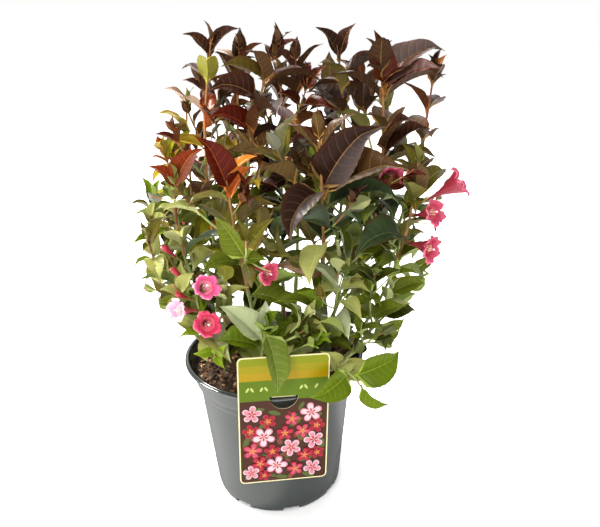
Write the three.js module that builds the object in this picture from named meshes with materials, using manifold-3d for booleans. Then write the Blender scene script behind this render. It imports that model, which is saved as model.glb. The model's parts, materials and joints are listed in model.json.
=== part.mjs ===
// A young weigela in a nursery pot, with its compost and its hanging plant label.
// Millimetres, +Z up. The origin is the centre of the pot's flat underside, and the label hangs
// on the -Y side of the rim.
import * as THREE from "three";
import { mergeVertices } from "three/addons/utils/BufferGeometryUtils.js";
import Module from "manifold-3d";

const wasm = await Module();
wasm.setup();

// ---- Driving dimensions ----

const AIR = 0.3; // what touching pieces keep between them
const SHORTEST_EDGE = 0.05; // edges below this are drawn together
const ROUNDING = 1e-3; // points closer than this count as one

const POT = {
  height: 160,
  rimRadius: 95,
  lipHeight: 4.5,
  lipWidth: 4,
  wall: 1.8,
  collarTop: 91, // outer radius under the lip
  collarFoot: 86.5, // and at the crease below the collar
  collarHeight: 22,
  bodyTop: 83, // outer radius just below the crease
  bodyFoot: 69.5, // and where the corner starts
  cornerHeight: 6,
  footRadius: 66.5,
  channelOuter: 60, // raised ring under the floor, between the middle pad and the foot ring
  channelInner: 47,
  channelHeight: 6,
  slope: 2.5, // horizontal run of the channel's walls
  notches: 8,
  notchWidth: 17,
  notchHeight: 4.5,
  holeRadius: 5,
  sides: 32,
};

const COMPOST_TOP = 146;

const LABEL = {
  width: 85,
  height: 139,
  thickness: 0.8,
  corner: 5,
  top: 205, // height of the upper edge above the ground
  heading: 5, // degrees round the rim from -Y towards +X
  tilt: 2, // degrees that its top leans to the right
  slotWidth: 27,
  slotHeight: 14,
  slotTop: 162.6, // height at which the cut tongue bends back over the rim
  tongueWidth: 22,
  tongueReach: 8.8, // how far behind the card the tongue hangs
  tongueFoot: 152,
};

const BOUGH = { footRadius: 3.3, tipRadius: 1.9, flare: 1.35, flareHeight: 9, sides: 5, steps: 4 };
const TWIG = { tipRadius: 1.1, leaderRadius: 2.2, sideRadius: 1.7, sides: 3, step: 26, fewest: 4 };

// Leaf pairs stand this far below a shoot's tip, and every later pair one step further down.
const PAIRS = [2, 14, 36, 66, 100];
const PAIR_STEP = 36;

const pairBelow = (pair) => PAIRS[pair] ?? PAIRS.at(-1) + PAIR_STEP * (pair - PAIRS.length + 1);

// How a leaf changes with its distance below the tip: size as a share of the shoot's largest
// leaf, angle off the shoot, and how far it bends over along its length, in degrees.
const HABIT = [
  { below: 0, size: 0.3, rise: 10, droop: 10 },
  { below: 14, size: 0.62, rise: 28, droop: 26 },
  { below: 36, size: 0.86, rise: 38, droop: 42 },
  { below: 70, size: 1.0, rise: 48, droop: 52 },
  { below: 110, size: 1.0, rise: 58, droop: 56 },
  { below: 170, size: 0.88, rise: 68, droop: 48 },
  { below: 260, size: 0.7, rise: 76, droop: 36 },
];

const LEAF = {
  widthShare: 0.43, // width over length
  fold: 24, // degrees that each half stands up from the midrib's plane
  thickness: 1.1,
  root: 0.25, // how far from the twig's axis its point begins
  stations: [0.32, 0.68], // where the blade of a big leaf is measured along its midrib
  middle: [0.44], // and that of a smaller one
  bigLeaf: 62,
  smallest: 28,
  petiole: 10, // length of a twig's foot that bears no leaf
  wander: 12, // degrees that a pair's heading may stray
};

// A leaf or twig that finds no room is tried again, each time turned further and made smaller.
const RETRY = { tries: 8, turn: 40, wander: 7, tilt: 5, leafShrink: 0.07, twigShrink: 0.05 };

// Side twigs: `first` and `last` are the leafy ends of a shoot they stay out of, `angle` is how
// far they lean off it, and `lift` how strongly they turn up again.
const SIDE = {
  first: 66, last: 24, length: 74, angle: 38, lift: 0.15, leafShare: 0.88,
  spiral: 137, // degrees from one side twig to the next
  bareFoot: 0.15, // share at its foot that may stand close to the shoot
};

// A flower opens from its calyx into a five-sided trumpet; a bud stays closed.
const FLOWER = {
  length: 34, mouth: 12, throat: 2.4, calyx: 1.3, stalk: 1.2, sides: 5, budLength: 26, budRadius: 3.4,
};

// Clearances kept while growing, from sample point to sample point.
const ROOM = { cell: 12, sample: 5, limbSamples: 40, edge: 3, ownFork: 2, mouthPoints: 8 };
const WIDE = { otherLeaf: 5.2, otherLimb: 4.4, ownLeaf: 3.6, ownLimb: 3, rootFree: 13 };
const CLOSE = { otherLeaf: 4, otherLimb: 3.2, ownLeaf: 2.6, ownLimb: 1.5, rootFree: 20 };

// The space of the whole crown: an oval at each height, with its middle and half widths.
const CROWN = [
  { height: 146, x: 12, y: -4, wide: 108, deep: 106 },
  { height: 200, x: 20, y: 0, wide: 120, deep: 112 },
  { height: 250, x: 14, y: 6, wide: 154, deep: 118 },
  { height: 330, x: 26, y: 12, wide: 158, deep: 120 },
  { height: 400, x: 40, y: 16, wide: 140, deep: 114 },
  { height: 450, x: 48, y: 24, wide: 130, deep: 106 },
  { height: 490, x: 50, y: 26, wide: 122, deep: 96 },
];

// The stems. foot: where it stands on the compost; tip: its highest point; bow: how far the
// middle of its guiding curve is pulled off the straight line; bare: the share of the stem
// below its foliage; turn: heading of its topmost leaf pair in degrees from +X; leaf: length
// of its largest leaves; sides: how many side twigs it forks into.
const STEMS = [
  {
    name: "centre_front", foot: [50, 4], tip: [46, -57, 392], bow: [4, -34, 0],
    bare: 0.26, turn: 80, leaf: 76, sides: 2,
  },
  {
    name: "right_high", foot: [54, 14], tip: [104, -14, 452], bow: [50, -8, 0],
    bare: 0.3, turn: 0, leaf: 70, sides: 2,
  },
  {
    name: "right_top", foot: [62, 24], tip: [160, 8, 441], bow: [33, -12, -40],
    bare: 0.3, turn: 20, leaf: 58, sides: 2,
  },
  {
    name: "centre_high", foot: [36, 30], tip: [70, 20, 466], bow: [44, 0, 0],
    bare: 0.34, turn: 10, leaf: 66, sides: 2,
  },
  {
    name: "centre_back", foot: [22, 50], tip: [34, 60, 451], bow: [10, 18, 0],
    bare: 0.34, turn: 60, leaf: 62, sides: 2,
  },
  {
    name: "centre_left", foot: [0, 22], tip: [13, 14, 465], bow: [-58, 0, 0],
    bare: 0.32, turn: 20, leaf: 64, sides: 1,
  },
  {
    name: "left_centre", foot: [-14, 46], tip: [-21, 48, 462], bow: [-22, 14, 0],
    bare: 0.36, turn: 70, leaf: 58, sides: 2,
  },
  {
    name: "left_high", foot: [-36, 30], tip: [-46, 24, 470], bow: [-38, 0, 0],
    bare: 0.34, turn: 0, leaf: 54, sides: 3,
  },
  {
    name: "left_outer", foot: [-44, 40], tip: [-78, 64, 414], bow: [-30, 4, -10],
    bare: 0.32, turn: 30, leaf: 58, sides: 3,
  },
  {
    name: "left_front", foot: [-28, 6], tip: [-83, -26, 355], bow: [-46, -8, 8],
    bare: 0.26, turn: 20, leaf: 60, sides: 2,
  },
  {
    name: "left_far", foot: [-52, 12], tip: [-112, 16, 330], bow: [-62, 6, -32],
    bare: 0.26, turn: 50, leaf: 54, sides: 3,
  },
  {
    name: "centre_mid", foot: [-8, -8], tip: [-37, -53, 375], bow: [-4, -28, 0],
    bare: 0.22, turn: 60, leaf: 70, sides: 3,
  },
  {
    name: "right_mid", foot: [68, 0], tip: [136, -46, 366], bow: [28, -14, -20],
    bare: 0.24, turn: 40, leaf: 64, sides: 3,
  },
  {
    name: "right_low", foot: [60, -22], tip: [114, -44, 244], bow: [16, -6, -6],
    bare: 0.3, turn: 10, leaf: 55, sides: 3,
  },
  {
    name: "front_right", foot: [44, -22], tip: [62, -60, 284], bow: [10, -16, 0],
    bare: 0.16, turn: 0, leaf: 60, sides: 2,
  },
  {
    name: "front_low_right", foot: [40, -46], tip: [78, -102, 172], bow: [2, -2, 34],
    bare: 0.3, turn: 0, leaf: 52, sides: 2,
  },
  {
    name: "front_low_left", foot: [-12, -36], tip: [-6, -90, 234], bow: [-6, -10, 0],
    bare: 0.2, turn: 10, leaf: 58, sides: 3,
  },
  {
    name: "left_low", foot: [-40, -16], tip: [-70, -58, 262], bow: [-18, -8, -6],
    bare: 0.26, turn: 30, leaf: 55, sides: 2,
  },
  {
    name: "back_left", foot: [-20, 62], tip: [-54, 102, 418], bow: [-14, 18, 0],
    bare: 0.3, turn: 100, leaf: 64, sides: 3,
  },
  {
    name: "back_centre", foot: [12, 66], tip: [20, 108, 434], bow: [0, 26, 0],
    bare: 0.3, turn: 10, leaf: 64, sides: 3,
  },
  {
    name: "back_right", foot: [46, 54], tip: [102, 78, 432], bow: [26, 16, 0],
    bare: 0.3, turn: 70, leaf: 64, sides: 2,
  },
  {
    name: "back_low_left", foot: [-40, 56], tip: [-88, 84, 292], bow: [-14, 12, -16],
    bare: 0.26, turn: 20, leaf: 58, sides: 4,
  },
  {
    name: "back_low_right", foot: [52, 38], tip: [118, 78, 300], bow: [14, 16, -16],
    bare: 0.26, turn: 60, leaf: 58, sides: 3,
  },
];

// The leaves that stand out, placed before the others: each runs from its stem, so far below
// the stem's tip, to a tip of its own, bent over by `droop` degrees on the way.
const LEADING_LEAVES = [
  { stem: "left_high", below: 15, tip: [-70, 20, 480], droop: 34 },
  { stem: "left_high", below: 15, tip: [-18, 20, 484], droop: 34 },
  { stem: "left_high", below: 38, tip: [-49, -8, 458], droop: 20 },
  { stem: "left_high", below: 82, tip: [-56, 8, 421], droop: 8 },
  { stem: "left_centre", below: 14, tip: [-19, 44, 483], droop: 10 },
  { stem: "left_centre", below: 16, tip: [1, 52, 470], droop: 15 },
  { stem: "left_centre", below: 18, tip: [-43, 60, 465], droop: 20 },
  { stem: "centre_left", below: 6, tip: [16, 12, 486], droop: 10 },
  { stem: "centre_left", below: 10, tip: [36, 20, 471], droop: 30 },
  { stem: "centre_left", below: 32, tip: [-38, 8, 452], droop: 35 },
  { stem: "centre_left", below: 52, tip: [-50, -14, 433], droop: 50 },
  { stem: "centre_left", below: 84, tip: [-51, -10, 410], droop: 45 },
  { stem: "centre_left", below: 84, tip: [5, -4, 427], droop: 15 },
  { stem: "centre_high", below: 5, tip: [52, 15, 483], droop: 20 },
  { stem: "centre_high", below: 5, tip: [86, 22, 485], droop: 15 },
  { stem: "centre_high", below: 46, tip: [52, -4, 454], droop: 40 },
  { stem: "right_high", below: 30, tip: [100, -18, 479], droop: 14 },
  { stem: "right_high", below: 22, tip: [168, 0, 463], droop: 45 },
  { stem: "right_high", below: 30, tip: [157, -34, 448], droop: 30 },
  { stem: "right_high", below: 90, tip: [150, -32, 397], droop: 30 },
  { stem: "right_high", below: 84, tip: [128, -48, 408], droop: 30 },
  { stem: "right_high", below: 50, tip: [54, -10, 457], droop: 60 },
  { stem: "right_top", below: 14, tip: [168, 2, 456], droop: 12 },
  { stem: "right_top", below: 40, tip: [132, 8, 433], droop: 12 },
  { stem: "centre_front", below: 50, tip: [96, -76, 409], droop: 24 },
  { stem: "centre_front", below: 50, tip: [14, -97, 312], droop: 104 },
  { stem: "centre_front", below: 54, tip: [119, -84, 374], droop: 30 },
  { stem: "right_mid", below: 36, tip: [130, -66, 374], droop: 16 },
  { stem: "right_mid", below: 76, tip: [72, -78, 292], droop: 86 },
  { stem: "left_front", below: 12, tip: [-107, -26, 369], droop: 34 },
  { stem: "left_front", below: 12, tip: [-57, -28, 385], droop: 18 },
  { stem: "centre_mid", below: 32, tip: [-55, -64, 402], droop: 16 },
  { stem: "left_outer", below: 10, tip: [-98, 56, 430], droop: 50 },
  { stem: "left_outer", below: 34, tip: [-104, 42, 408], droop: 40 },
  { stem: "front_low_right", below: 14, tip: [126, -74, 182], droop: 30 },
  { stem: "front_low_right", below: 2, tip: [94, -112, 152], droop: 40 },
  { stem: "front_low_right", below: 3, tip: [62, -116, 152], droop: 30 },
  { stem: "front_low_right", below: 20, tip: [30, -110, 166], droop: 30 },
  { stem: "front_low_left", below: 9, tip: [2, -117, 176], droop: 70 },
  { stem: "front_low_left", below: 24, tip: [-48, -70, 248], droop: 12 },
  { stem: "front_right", below: 96, tip: [6, -88, 262], droop: 50 },
  { stem: "right_low", below: 8, tip: [152, -36, 246], droop: 40 },
  { stem: "right_low", below: 34, tip: [146, -30, 214], droop: 30 },
  { stem: "left_low", below: 60, tip: [-92, -50, 206], droop: 30 },
  { stem: "left_far", below: 70, tip: [-138, 2, 262], droop: 40 },
  { stem: "left_far", below: 20, tip: [-134, 4, 326], droop: 70 },
];

// Flowers: each runs from its stem, so far below the stem's tip, to the middle of its mouth.
const FLOWERS = [
  { stem: "right_mid", below: 44, mouth: [174, -54, 350], size: 1.1 },
  { stem: "right_mid", below: 52, mouth: [148, -68, 326], size: 0.9 },
  { stem: "right_mid", below: 78, mouth: [148, -66, 290], size: 0.95 },
  { stem: "right_high", below: 96, mouth: [112, -42, 350], size: 0.9 },
  { stem: "centre_high", below: 112, mouth: [74, -16, 350], size: 0.9 },
  { stem: "left_front", below: 92, mouth: [-98, -46, 297], size: 0.95 },
  { stem: "left_low", below: 4, mouth: [-89, -66, 283], size: 0.85, bud: true },
  { stem: "left_low", below: 20, mouth: [-86, -74, 262], size: 0.8, bud: true },
  { stem: "left_low", below: 12, mouth: [-56, -84, 272], size: 0.9 },
  { stem: "left_low", below: 30, mouth: [-88, -72, 244], size: 0.85 },
  { stem: "left_low", below: 44, mouth: [-58, -80, 232], size: 0.95 },
  { stem: "centre_mid", below: 96, mouth: [0, -84, 280], size: 0.8 },
  { stem: "back_low_left", below: 26, mouth: [-104, 108, 276], size: 1.0 },
  { stem: "back_low_left", below: 34, mouth: [-72, 114, 268], size: 0.95 },
  { stem: "back_low_right", below: 24, mouth: [142, 92, 292], size: 1.0 },
  { stem: "back_low_right", below: 30, mouth: [116, 112, 272], size: 0.9 },
  { stem: "back_centre", below: 120, mouth: [28, 132, 330], size: 1.0 },
];

const COLOURS = {
  pot: 0x3d4641, compost: 0x4a3020, card: 0x8fae3c, bark: 0x8a6a42,
  plum: 0x4a1f28, bronze: 0x6a5a34, green: 0x5d8a3a, copper: 0x9a4a24,
};

// ---- Small tools ----

const rad = THREE.MathUtils.degToRad;
const add = (a, b, k = 1) => [a[0] + b[0] * k, a[1] + b[1] * k, a[2] + b[2] * k];
const minus = (a, b) => [a[0] - b[0], a[1] - b[1], a[2] - b[2]];
const dot = (a, b) => a[0] * b[0] + a[1] * b[1] + a[2] * b[2];
const cross = (a, b) => [
  a[1] * b[2] - a[2] * b[1],
  a[2] * b[0] - a[0] * b[2],
  a[0] * b[1] - a[1] * b[0],
];
const unit = (a) => {
  const size = Math.sqrt(dot(a, a));
  return [a[0] / size, a[1] / size, a[2] / size];
};
// The direction square to `axis` on the side of `heading`.
const squareTo = (axis, heading) => unit(add(heading, axis, -dot(heading, axis)));
const compass = (degrees) => [Math.cos(rad(degrees)), Math.sin(rad(degrees)), 0];

// Park and Miller's generator: the same draws from the same seed in any language. A seed is
// made of the counting numbers of the thing it is for.
const DICE = { prime: 2147483647, step: 48271, spread: 7919, offset: 104729, digits: 131 };

function dice(...numbers) {
  const seed = numbers.reduce((sum, n) => (sum * DICE.digits + n) % DICE.prime, 1);
  let state = (seed * DICE.spread + DICE.offset) % DICE.prime;
  const draw = () => {
    state = (state * DICE.step) % DICE.prime;
    return state / DICE.prime;
  };
  draw();
  draw();
  return (low, high) => low + (high - low) * draw();
}

function closedGeometry(points, faces) {
  const geometry = new THREE.BufferGeometry();
  geometry.setAttribute("position", new THREE.Float32BufferAttribute(points.flat(), 3));
  geometry.setIndex(faces.flat());
  return geometry;
}

function toSolid(geometry) {
  const bare = geometry.clone();
  bare.deleteAttribute("normal");
  bare.deleteAttribute("uv");
  const merged = mergeVertices(bare, 1e-4);
  return new wasm.Manifold(new wasm.Mesh({
    numProp: 3,
    vertProperties: new Float32Array(merged.attributes.position.array),
    triVerts: new Uint32Array(merged.index.array),
  }));
}

function toGeometry(solid) {
  const mesh = solid.getMesh();
  const geometry = new THREE.BufferGeometry();
  geometry.setAttribute("position", new THREE.BufferAttribute(mesh.vertProperties.slice(), 3));
  geometry.setIndex(new THREE.BufferAttribute(mesh.triVerts.slice(), 1));
  return geometry;
}

const material = (colour, roughness = 0.6) =>
  new THREE.MeshStandardMaterial({ color: colour, roughness, metalness: 0 });

function piece(name, geometry, colour, roughness) {
  geometry.computeVertexNormals();
  const mesh = new THREE.Mesh(geometry, material(colour, roughness));
  mesh.name = name;
  return mesh;
}

// ---- Curves of stems and twigs ----

function guide(start, end, bow) {
  const middle = add(add(start, minus(end, start), 0.5), bow);
  return [start, middle, end];
}

function curvePoint([a, b, c], t) {
  const s = 1 - t;
  return [0, 1, 2].map((i) => s * s * a[i] + 2 * s * t * b[i] + t * t * c[i]);
}

function curveHeading([a, b, c], t) {
  return unit([0, 1, 2].map((i) => (1 - t) * (b[i] - a[i]) + t * (c[i] - b[i])));
}

const CURVE_STEPS = 100;

// The lengths of a curve's short runs, from its foot to its tip.
function curveRuns(curve) {
  return Array.from({ length: CURVE_STEPS }, (_, i) => {
    const run = minus(curvePoint(curve, (i + 1) / CURVE_STEPS), curvePoint(curve, i / CURVE_STEPS));
    return Math.sqrt(dot(run, run));
  });
}

const curveLength = (curve) => curveRuns(curve).reduce((sum, run) => sum + run, 0);

// The curve's parameter at a distance back from its tip.
function belowTip(curve, distance) {
  const runs = curveRuns(curve);
  let left = distance;
  for (let i = CURVE_STEPS - 1; i >= 0; i -= 1) {
    if (runs[i] >= left) return (i + 1 - left / runs[i]) / CURVE_STEPS;
    left -= runs[i];
  }
  return 0;
}

// A closed tapering limb along a curve from parameter `from` to `to`.
function limb(curve, from, to, sides, steps, radiusAt, flatFoot = false) {
  const points = [];
  const faces = [];
  for (let i = 0; i <= steps; i += 1) {
    const share = i / steps;
    const t = from + (to - from) * share;
    const centre = curvePoint(curve, t);
    const level = flatFoot && i === 0;
    const heading = level ? [0, 0, 1] : curveHeading(curve, t);
    const right = unit(cross(heading, [0, 1, 0]));
    const back = cross(heading, right);
    for (let k = 0; k < sides; k += 1) {
      const angle = (2 * Math.PI * k) / sides;
      const radius = radiusAt(share, centre);
      points.push(add(add(centre, right, radius * Math.cos(angle)), back, radius * Math.sin(angle)));
    }
  }
  for (let i = 0; i < steps; i += 1) {
    for (let k = 0; k < sides; k += 1) {
      const a = i * sides + k;
      const b = i * sides + ((k + 1) % sides);
      faces.push([a, b, a + sides], [b, b + sides, a + sides]);
    }
  }
  const top = steps * sides;
  for (let k = 1; k < sides - 1; k += 1) {
    faces.push([0, k + 1, k], [top, top + k, top + k + 1]);
  }
  return closedGeometry(points, faces);
}

// ---- Leaves ----

const habitAt = (below) => {
  const i = Math.min(HABIT.length - 2, HABIT.findLastIndex((row) => row.below <= below));
  const [a, b] = [HABIT[i], HABIT[i + 1]];
  const share = Math.min(1, (below - a.below) / (b.below - a.below));
  const mix = (key) => a[key] + (b[key] - a[key]) * share;
  return { size: mix("size"), rise: mix("rise"), droop: mix("droop") };
};

// Half the blade's width at a share of its length: widest near a third, drawn out to the tip.
const OUTLINE = { pull: 0.82, blunt: 0.9, full: 1.06, taper: 0.3 };

function halfWidth(leaf, share) {
  const bulge = Math.sin(Math.PI * share ** OUTLINE.pull) ** OUTLINE.blunt;
  return 0.5 * leaf.length * leaf.width * bulge * (OUTLINE.full - OUTLINE.taper * share);
}

// The midrib's point and directions at a share of its length. The midrib leaves the twig at
// `rise` off the twig's own heading and turns on by `droop` in the plane of `along` and `out`.
function midrib(leaf, share) {
  const rise = rad(leaf.rise);
  const droop = rad(Math.max(leaf.droop, 1));
  const angle = rise + droop * share;
  const forward = (leaf.length * (Math.sin(angle) - Math.sin(rise))) / droop;
  const outward = (leaf.length * (Math.cos(rise) - Math.cos(angle))) / droop;
  const point = add(add(leaf.root, leaf.along, forward), leaf.out, outward);
  const normal = add(add([0, 0, 0], leaf.along, Math.sin(angle)), leaf.out, -Math.cos(angle));
  return { point, normal };
}

// A point on the blade: `across` runs from -1 at one margin to 1 at the other.
function bladePoint(leaf, share, across) {
  const { point, normal } = midrib(leaf, share);
  const half = halfWidth(leaf, share);
  const fold = rad(leaf.fold);
  const lateral = add(point, leaf.side, half * across * Math.cos(fold));
  return add(lateral, normal, half * Math.abs(across) * Math.sin(fold));
}

// `shape` holds a leaf's rise, droop, length, width and fold.
function makeLeaf(root, along, heading, shape) {
  const out = squareTo(along, heading);
  return { root, along, out, side: cross(along, out), ...shape };
}

// The solid of a leaf: a folded blade that narrows to its root inside the twig and to its tip.
function leafSolid(leaf) {
  const stations = leaf.length > LEAF.bigLeaf ? LEAF.stations : LEAF.middle;
  const heading = unit(minus(midrib(leaf, LEAF.root / leaf.length).point, leaf.root));
  const points = [add(leaf.root, heading, LEAF.root)];
  stations.forEach((share) => {
    const { point, normal } = midrib(leaf, share);
    points.push(bladePoint(leaf, share, -1), point, bladePoint(leaf, share, 1));
    points.push(add(point, normal, -LEAF.thickness));
  });
  points.push(midrib(leaf, 1).point);
  const tip = points.length - 1;
  const ring = [0, 1, 2, 3];
  const next = [1, 2, 3, 0];
  const faces = ring.map((k) => [0, 1 + k, 1 + next[k]]);
  for (let row = 1; row + 4 < tip; row += 4) {
    ring.forEach((k) => {
      const [a, b] = [row + k, row + next[k]];
      faces.push([a, a + 4, b], [b, a + 4, b + 4]);
    });
  }
  ring.forEach((k) => faces.push([tip, tip - 4 + next[k], tip - 4 + k]));
  return toSolid(closedGeometry(points, faces));
}

// ---- Room: which places are taken, and by whom ----

const taken = new Map();
const cellOf = (p) => p.map((v) => Math.floor(v / ROOM.cell));
const keyOf = (x, y, z) => `${x},${y},${z}`;

function occupy(point, owner, kind) {
  const key = keyOf(...cellOf(point));
  if (!taken.has(key)) taken.set(key, []);
  taken.get(key).push({ point, owner, kind });
}

function clearOf(point, test) {
  const [x, y, z] = cellOf(point);
  for (let i = x - 1; i <= x + 1; i += 1) {
    for (let j = y - 1; j <= y + 1; j += 1) {
      for (let k = z - 1; k <= z + 1; k += 1) {
        for (const other of taken.get(keyOf(i, j, k)) ?? []) {
          const run = minus(point, other.point);
          const reach = test(other);
          if (reach > 0 && dot(run, run) < reach * reach) return false;
        }
      }
    }
  }
  return true;
}

function insideCrown(point) {
  const above = CROWN.findIndex((row) => row.height > point[2]);
  if (above < 1) return false;
  const [a, b] = [CROWN[above - 1], CROWN[above]];
  const share = (point[2] - a.height) / (b.height - a.height);
  const mix = (key) => a[key] + (b[key] - a[key]) * share;
  return Math.hypot((point[0] - mix("x")) / mix("wide"), (point[1] - mix("y")) / mix("deep")) < 1;
}

const LABEL_CENTRE = POT.rimRadius * Math.sin(rad(LABEL.heading));
const LABEL_SWING = 4; // how far its turned and tilted card strays from the plane of the rim
const INSIDE_RIM = POT.rimRadius - 2 * LABEL.tongueReach;

// The pot, its compost and the label take room too.
function insideMade([x, y, z]) {
  const radius = Math.hypot(x, y);
  if (radius < POT.rimRadius + ROOM.edge) {
    if (z < COMPOST_TOP + ROOM.edge) return true;
    if (z < POT.height + ROOM.edge && radius > INSIDE_RIM) return true;
  }
  const beside = Math.abs(x - LABEL_CENTRE) < LABEL.width / 2 + ROOM.edge;
  const fore = Math.abs(y + POT.rimRadius) < LABEL_SWING + ROOM.edge;
  return beside && fore && z < LABEL.top + ROOM.edge;
}

function bladeSamples(leaf) {
  const samples = [];
  const rows = Math.max(3, Math.round(leaf.length / ROOM.sample));
  for (let i = 0; i <= rows; i += 1) {
    const share = i / rows;
    const steps = Math.max(1, Math.ceil(halfWidth(leaf, share) / ROOM.sample));
    for (let k = -steps; k <= steps; k += 1) {
      samples.push({ point: bladePoint(leaf, share, k / steps), along: share * leaf.length });
    }
  }
  return samples;
}

function leafFits(owner, samples, room) {
  return samples.every(({ point, along }) => clearOf(point, (other) => {
    if (other.owner !== owner) return other.kind === "leaf" ? room.otherLeaf : room.otherLimb;
    if (along < room.rootFree) return 0;
    return other.kind === "leaf" ? room.ownLeaf : room.ownLimb;
  }));
}

function limbSamples(curve, from) {
  const count = ROOM.limbSamples;
  return Array.from({ length: count + 1 }, (_, i) => curvePoint(curve, from + ((1 - from) * i) / count));
}

// ---- Growing a mass of foliage ----

function plant(stem, order) {
  const foot = [stem.foot[0], stem.foot[1], COMPOST_TOP + AIR];
  const curve = guide(foot, stem.tip, stem.bow);
  const start = stem.bare + AIR / curveLength(curve);
  const leader = { curve, from: start, leaf: stem.leaf, turn: stem.turn, radius: TWIG.leaderRadius };
  return { ...stem, order, curve, start, twigs: [leader], leaves: [], flowers: [] };
}

// A side twig leaves the shoot and turns up again.
function sideTwig(mass, n, attempt) {
  const draw = dice(mass.order, n, attempt);
  const reach = curveLength(mass.curve) * (1 - mass.start);
  const first = Math.min(SIDE.first, 0.3 * reach);
  const every = (reach - first - Math.min(SIDE.last, 0.2 * reach)) / mass.sides;
  const t = belowTip(mass.curve, first + every * (n + draw(0.2, 0.8)));
  const root = curvePoint(mass.curve, t);
  const along = curveHeading(mass.curve, t);
  const turn = mass.turn + 90 + n * SIDE.spiral + attempt * RETRY.turn + draw(-25, 25);
  const out = squareTo(along, compass(turn));
  const length = SIDE.length * draw(0.8, 1.2) * (1 - RETRY.twigShrink * attempt);
  const angle = rad(SIDE.angle + draw(-8, 10));
  const tip = add(add(root, along, length * Math.cos(angle)), out, length * Math.sin(angle));
  const curve = guide(root, tip, add([0, 0, 0], out, length * SIDE.lift));
  const leaf = mass.leaf * SIDE.leafShare;
  return { curve, from: 0, leaf, turn: mass.turn + 70 * n, radius: TWIG.sideRadius };
}

const limbFits = (mass, samples) => samples.every((point) => (
  !insideMade(point) && insideCrown(point) && clearOf(point, (other) => (
    other.owner === mass.name && other.kind === "limb" ? ROOM.ownFork : WIDE.otherLimb))));

function forkTwigs(mass) {
  for (let n = 0; n < mass.sides; n += 1) {
    for (let attempt = 0; attempt < RETRY.tries; attempt += 1) {
      const twig = sideTwig(mass, n, attempt);
      const samples = limbSamples(twig.curve, SIDE.bareFoot);
      if (limbFits(mass, samples)) {
        samples.forEach((point) => occupy(point, mass.name, "limb"));
        mass.twigs.push(twig);
        break;
      }
    }
  }
}

function growLeaf(mass, leaf, room) {
  const samples = bladeSamples(leaf);
  if (room === WIDE && samples.some(({ point }) => insideMade(point) || !insideCrown(point))) return false;
  if (!leafFits(mass.name, samples, room)) return false;
  samples.forEach(({ point }) => occupy(point, mass.name, "leaf"));
  mass.leaves.push(leaf);
  return true;
}

function aimedLeaf(curve, row) {
  const t = belowTip(curve, row.below);
  const root = curvePoint(curve, t);
  const along = curveHeading(curve, t);
  const chord = minus(row.tip, root);
  const span = Math.sqrt(dot(chord, chord));
  const bend = rad(row.droop) / 2;
  const lean = THREE.MathUtils.radToDeg(Math.acos(dot(along, chord) / span));
  const length = (span * bend) / Math.sin(bend);
  const rise = lean - row.droop / 2;
  const shape = { rise, droop: row.droop, length, width: LEAF.widthShare, fold: LEAF.fold };
  return makeLeaf(root, along, chord, shape);
}

function growLeadingLeaves(mass) {
  LEADING_LEAVES.filter((row) => row.stem === mass.name).forEach((row) => {
    growLeaf(mass, aimedLeaf(mass.curve, row), CLOSE);
  });
}

// One leaf of a pair on a twig, with its draws of chance.
function twigLeaf(mass, twig, number, pair, below, side, attempt) {
  const draw = dice(mass.order, number, pair, side, attempt);
  const habit = habitAt(below);
  const t = belowTip(twig.curve, below);
  const wander = LEAF.wander + RETRY.wander * attempt;
  const heading = compass(twig.turn + pair * 90 + side * 180 + draw(-wander, wander));
  const shape = {
    rise: habit.rise + draw(-9, 9) + draw(-1, 1) * RETRY.tilt * attempt,
    droop: habit.droop * draw(0.5, 1.6),
    length: twig.leaf * habit.size * draw(0.86, 1.08) * (1 - RETRY.leafShrink * attempt),
    width: LEAF.widthShare * draw(0.9, 1.12),
    fold: LEAF.fold * draw(0.6, 1.4),
  };
  return makeLeaf(curvePoint(twig.curve, t), curveHeading(twig.curve, t), heading, shape);
}

// Opposite leaves in pairs, each pair turned a quarter from the last, down to the twig's foot.
function growTwigLeaves(mass, twig, number) {
  const reach = curveLength(twig.curve) * (1 - twig.from) - LEAF.petiole;
  for (let pair = 0; pairBelow(pair) < reach; pair += 1) {
    [0, 1].forEach((side) => {
      for (let attempt = 0; attempt < RETRY.tries; attempt += 1) {
        const leaf = twigLeaf(mass, twig, number, pair, pairBelow(pair), side, attempt);
        if (leaf.length < LEAF.smallest || growLeaf(mass, leaf, WIDE)) break;
      }
    });
  }
}

// ---- Flowers: a narrow tube that opens into a trumpet, or a closed bud ----

// Rings along a flower from its stalk: distance from the root and radius. The mouth is hollowed.
function flowerRings(row, span) {
  const { length, mouth, throat, calyx, stalk, budLength, budRadius } = FLOWER;
  const bud = [[0, calyx], [0.5, 0.7 * budRadius], [0.8, budRadius], [1, 0.3 * budRadius]];
  const open = [[0, calyx], [0.4, throat], [0.78, 0.5 * mouth], [1, mouth], [0.8, 0.3 * mouth]];
  const own = (row.bud ? budLength : length) * row.size;
  const start = Math.max(0, span - own);
  const profile = row.bud ? bud : open;
  return [[0, stalk], ...profile.map(([at, radius]) => [start + at * own, radius * row.size])];
}

function flowerAxis(mass, row) {
  const root = curvePoint(mass.curve, belowTip(mass.curve, row.below));
  const chord = minus(row.mouth, root);
  const heading = unit(chord);
  const right = unit(cross(heading, [0, 0, 1]));
  return { root, heading, right, up: cross(right, heading), span: Math.sqrt(dot(chord, chord)) };
}

function ringPoints(axis, at, radius, count) {
  const centre = add(axis.root, axis.heading, at);
  return Array.from({ length: count }, (_, k) => {
    const angle = (2 * Math.PI * k) / count;
    return add(add(centre, axis.right, radius * Math.cos(angle)), axis.up, radius * Math.sin(angle));
  });
}

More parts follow.
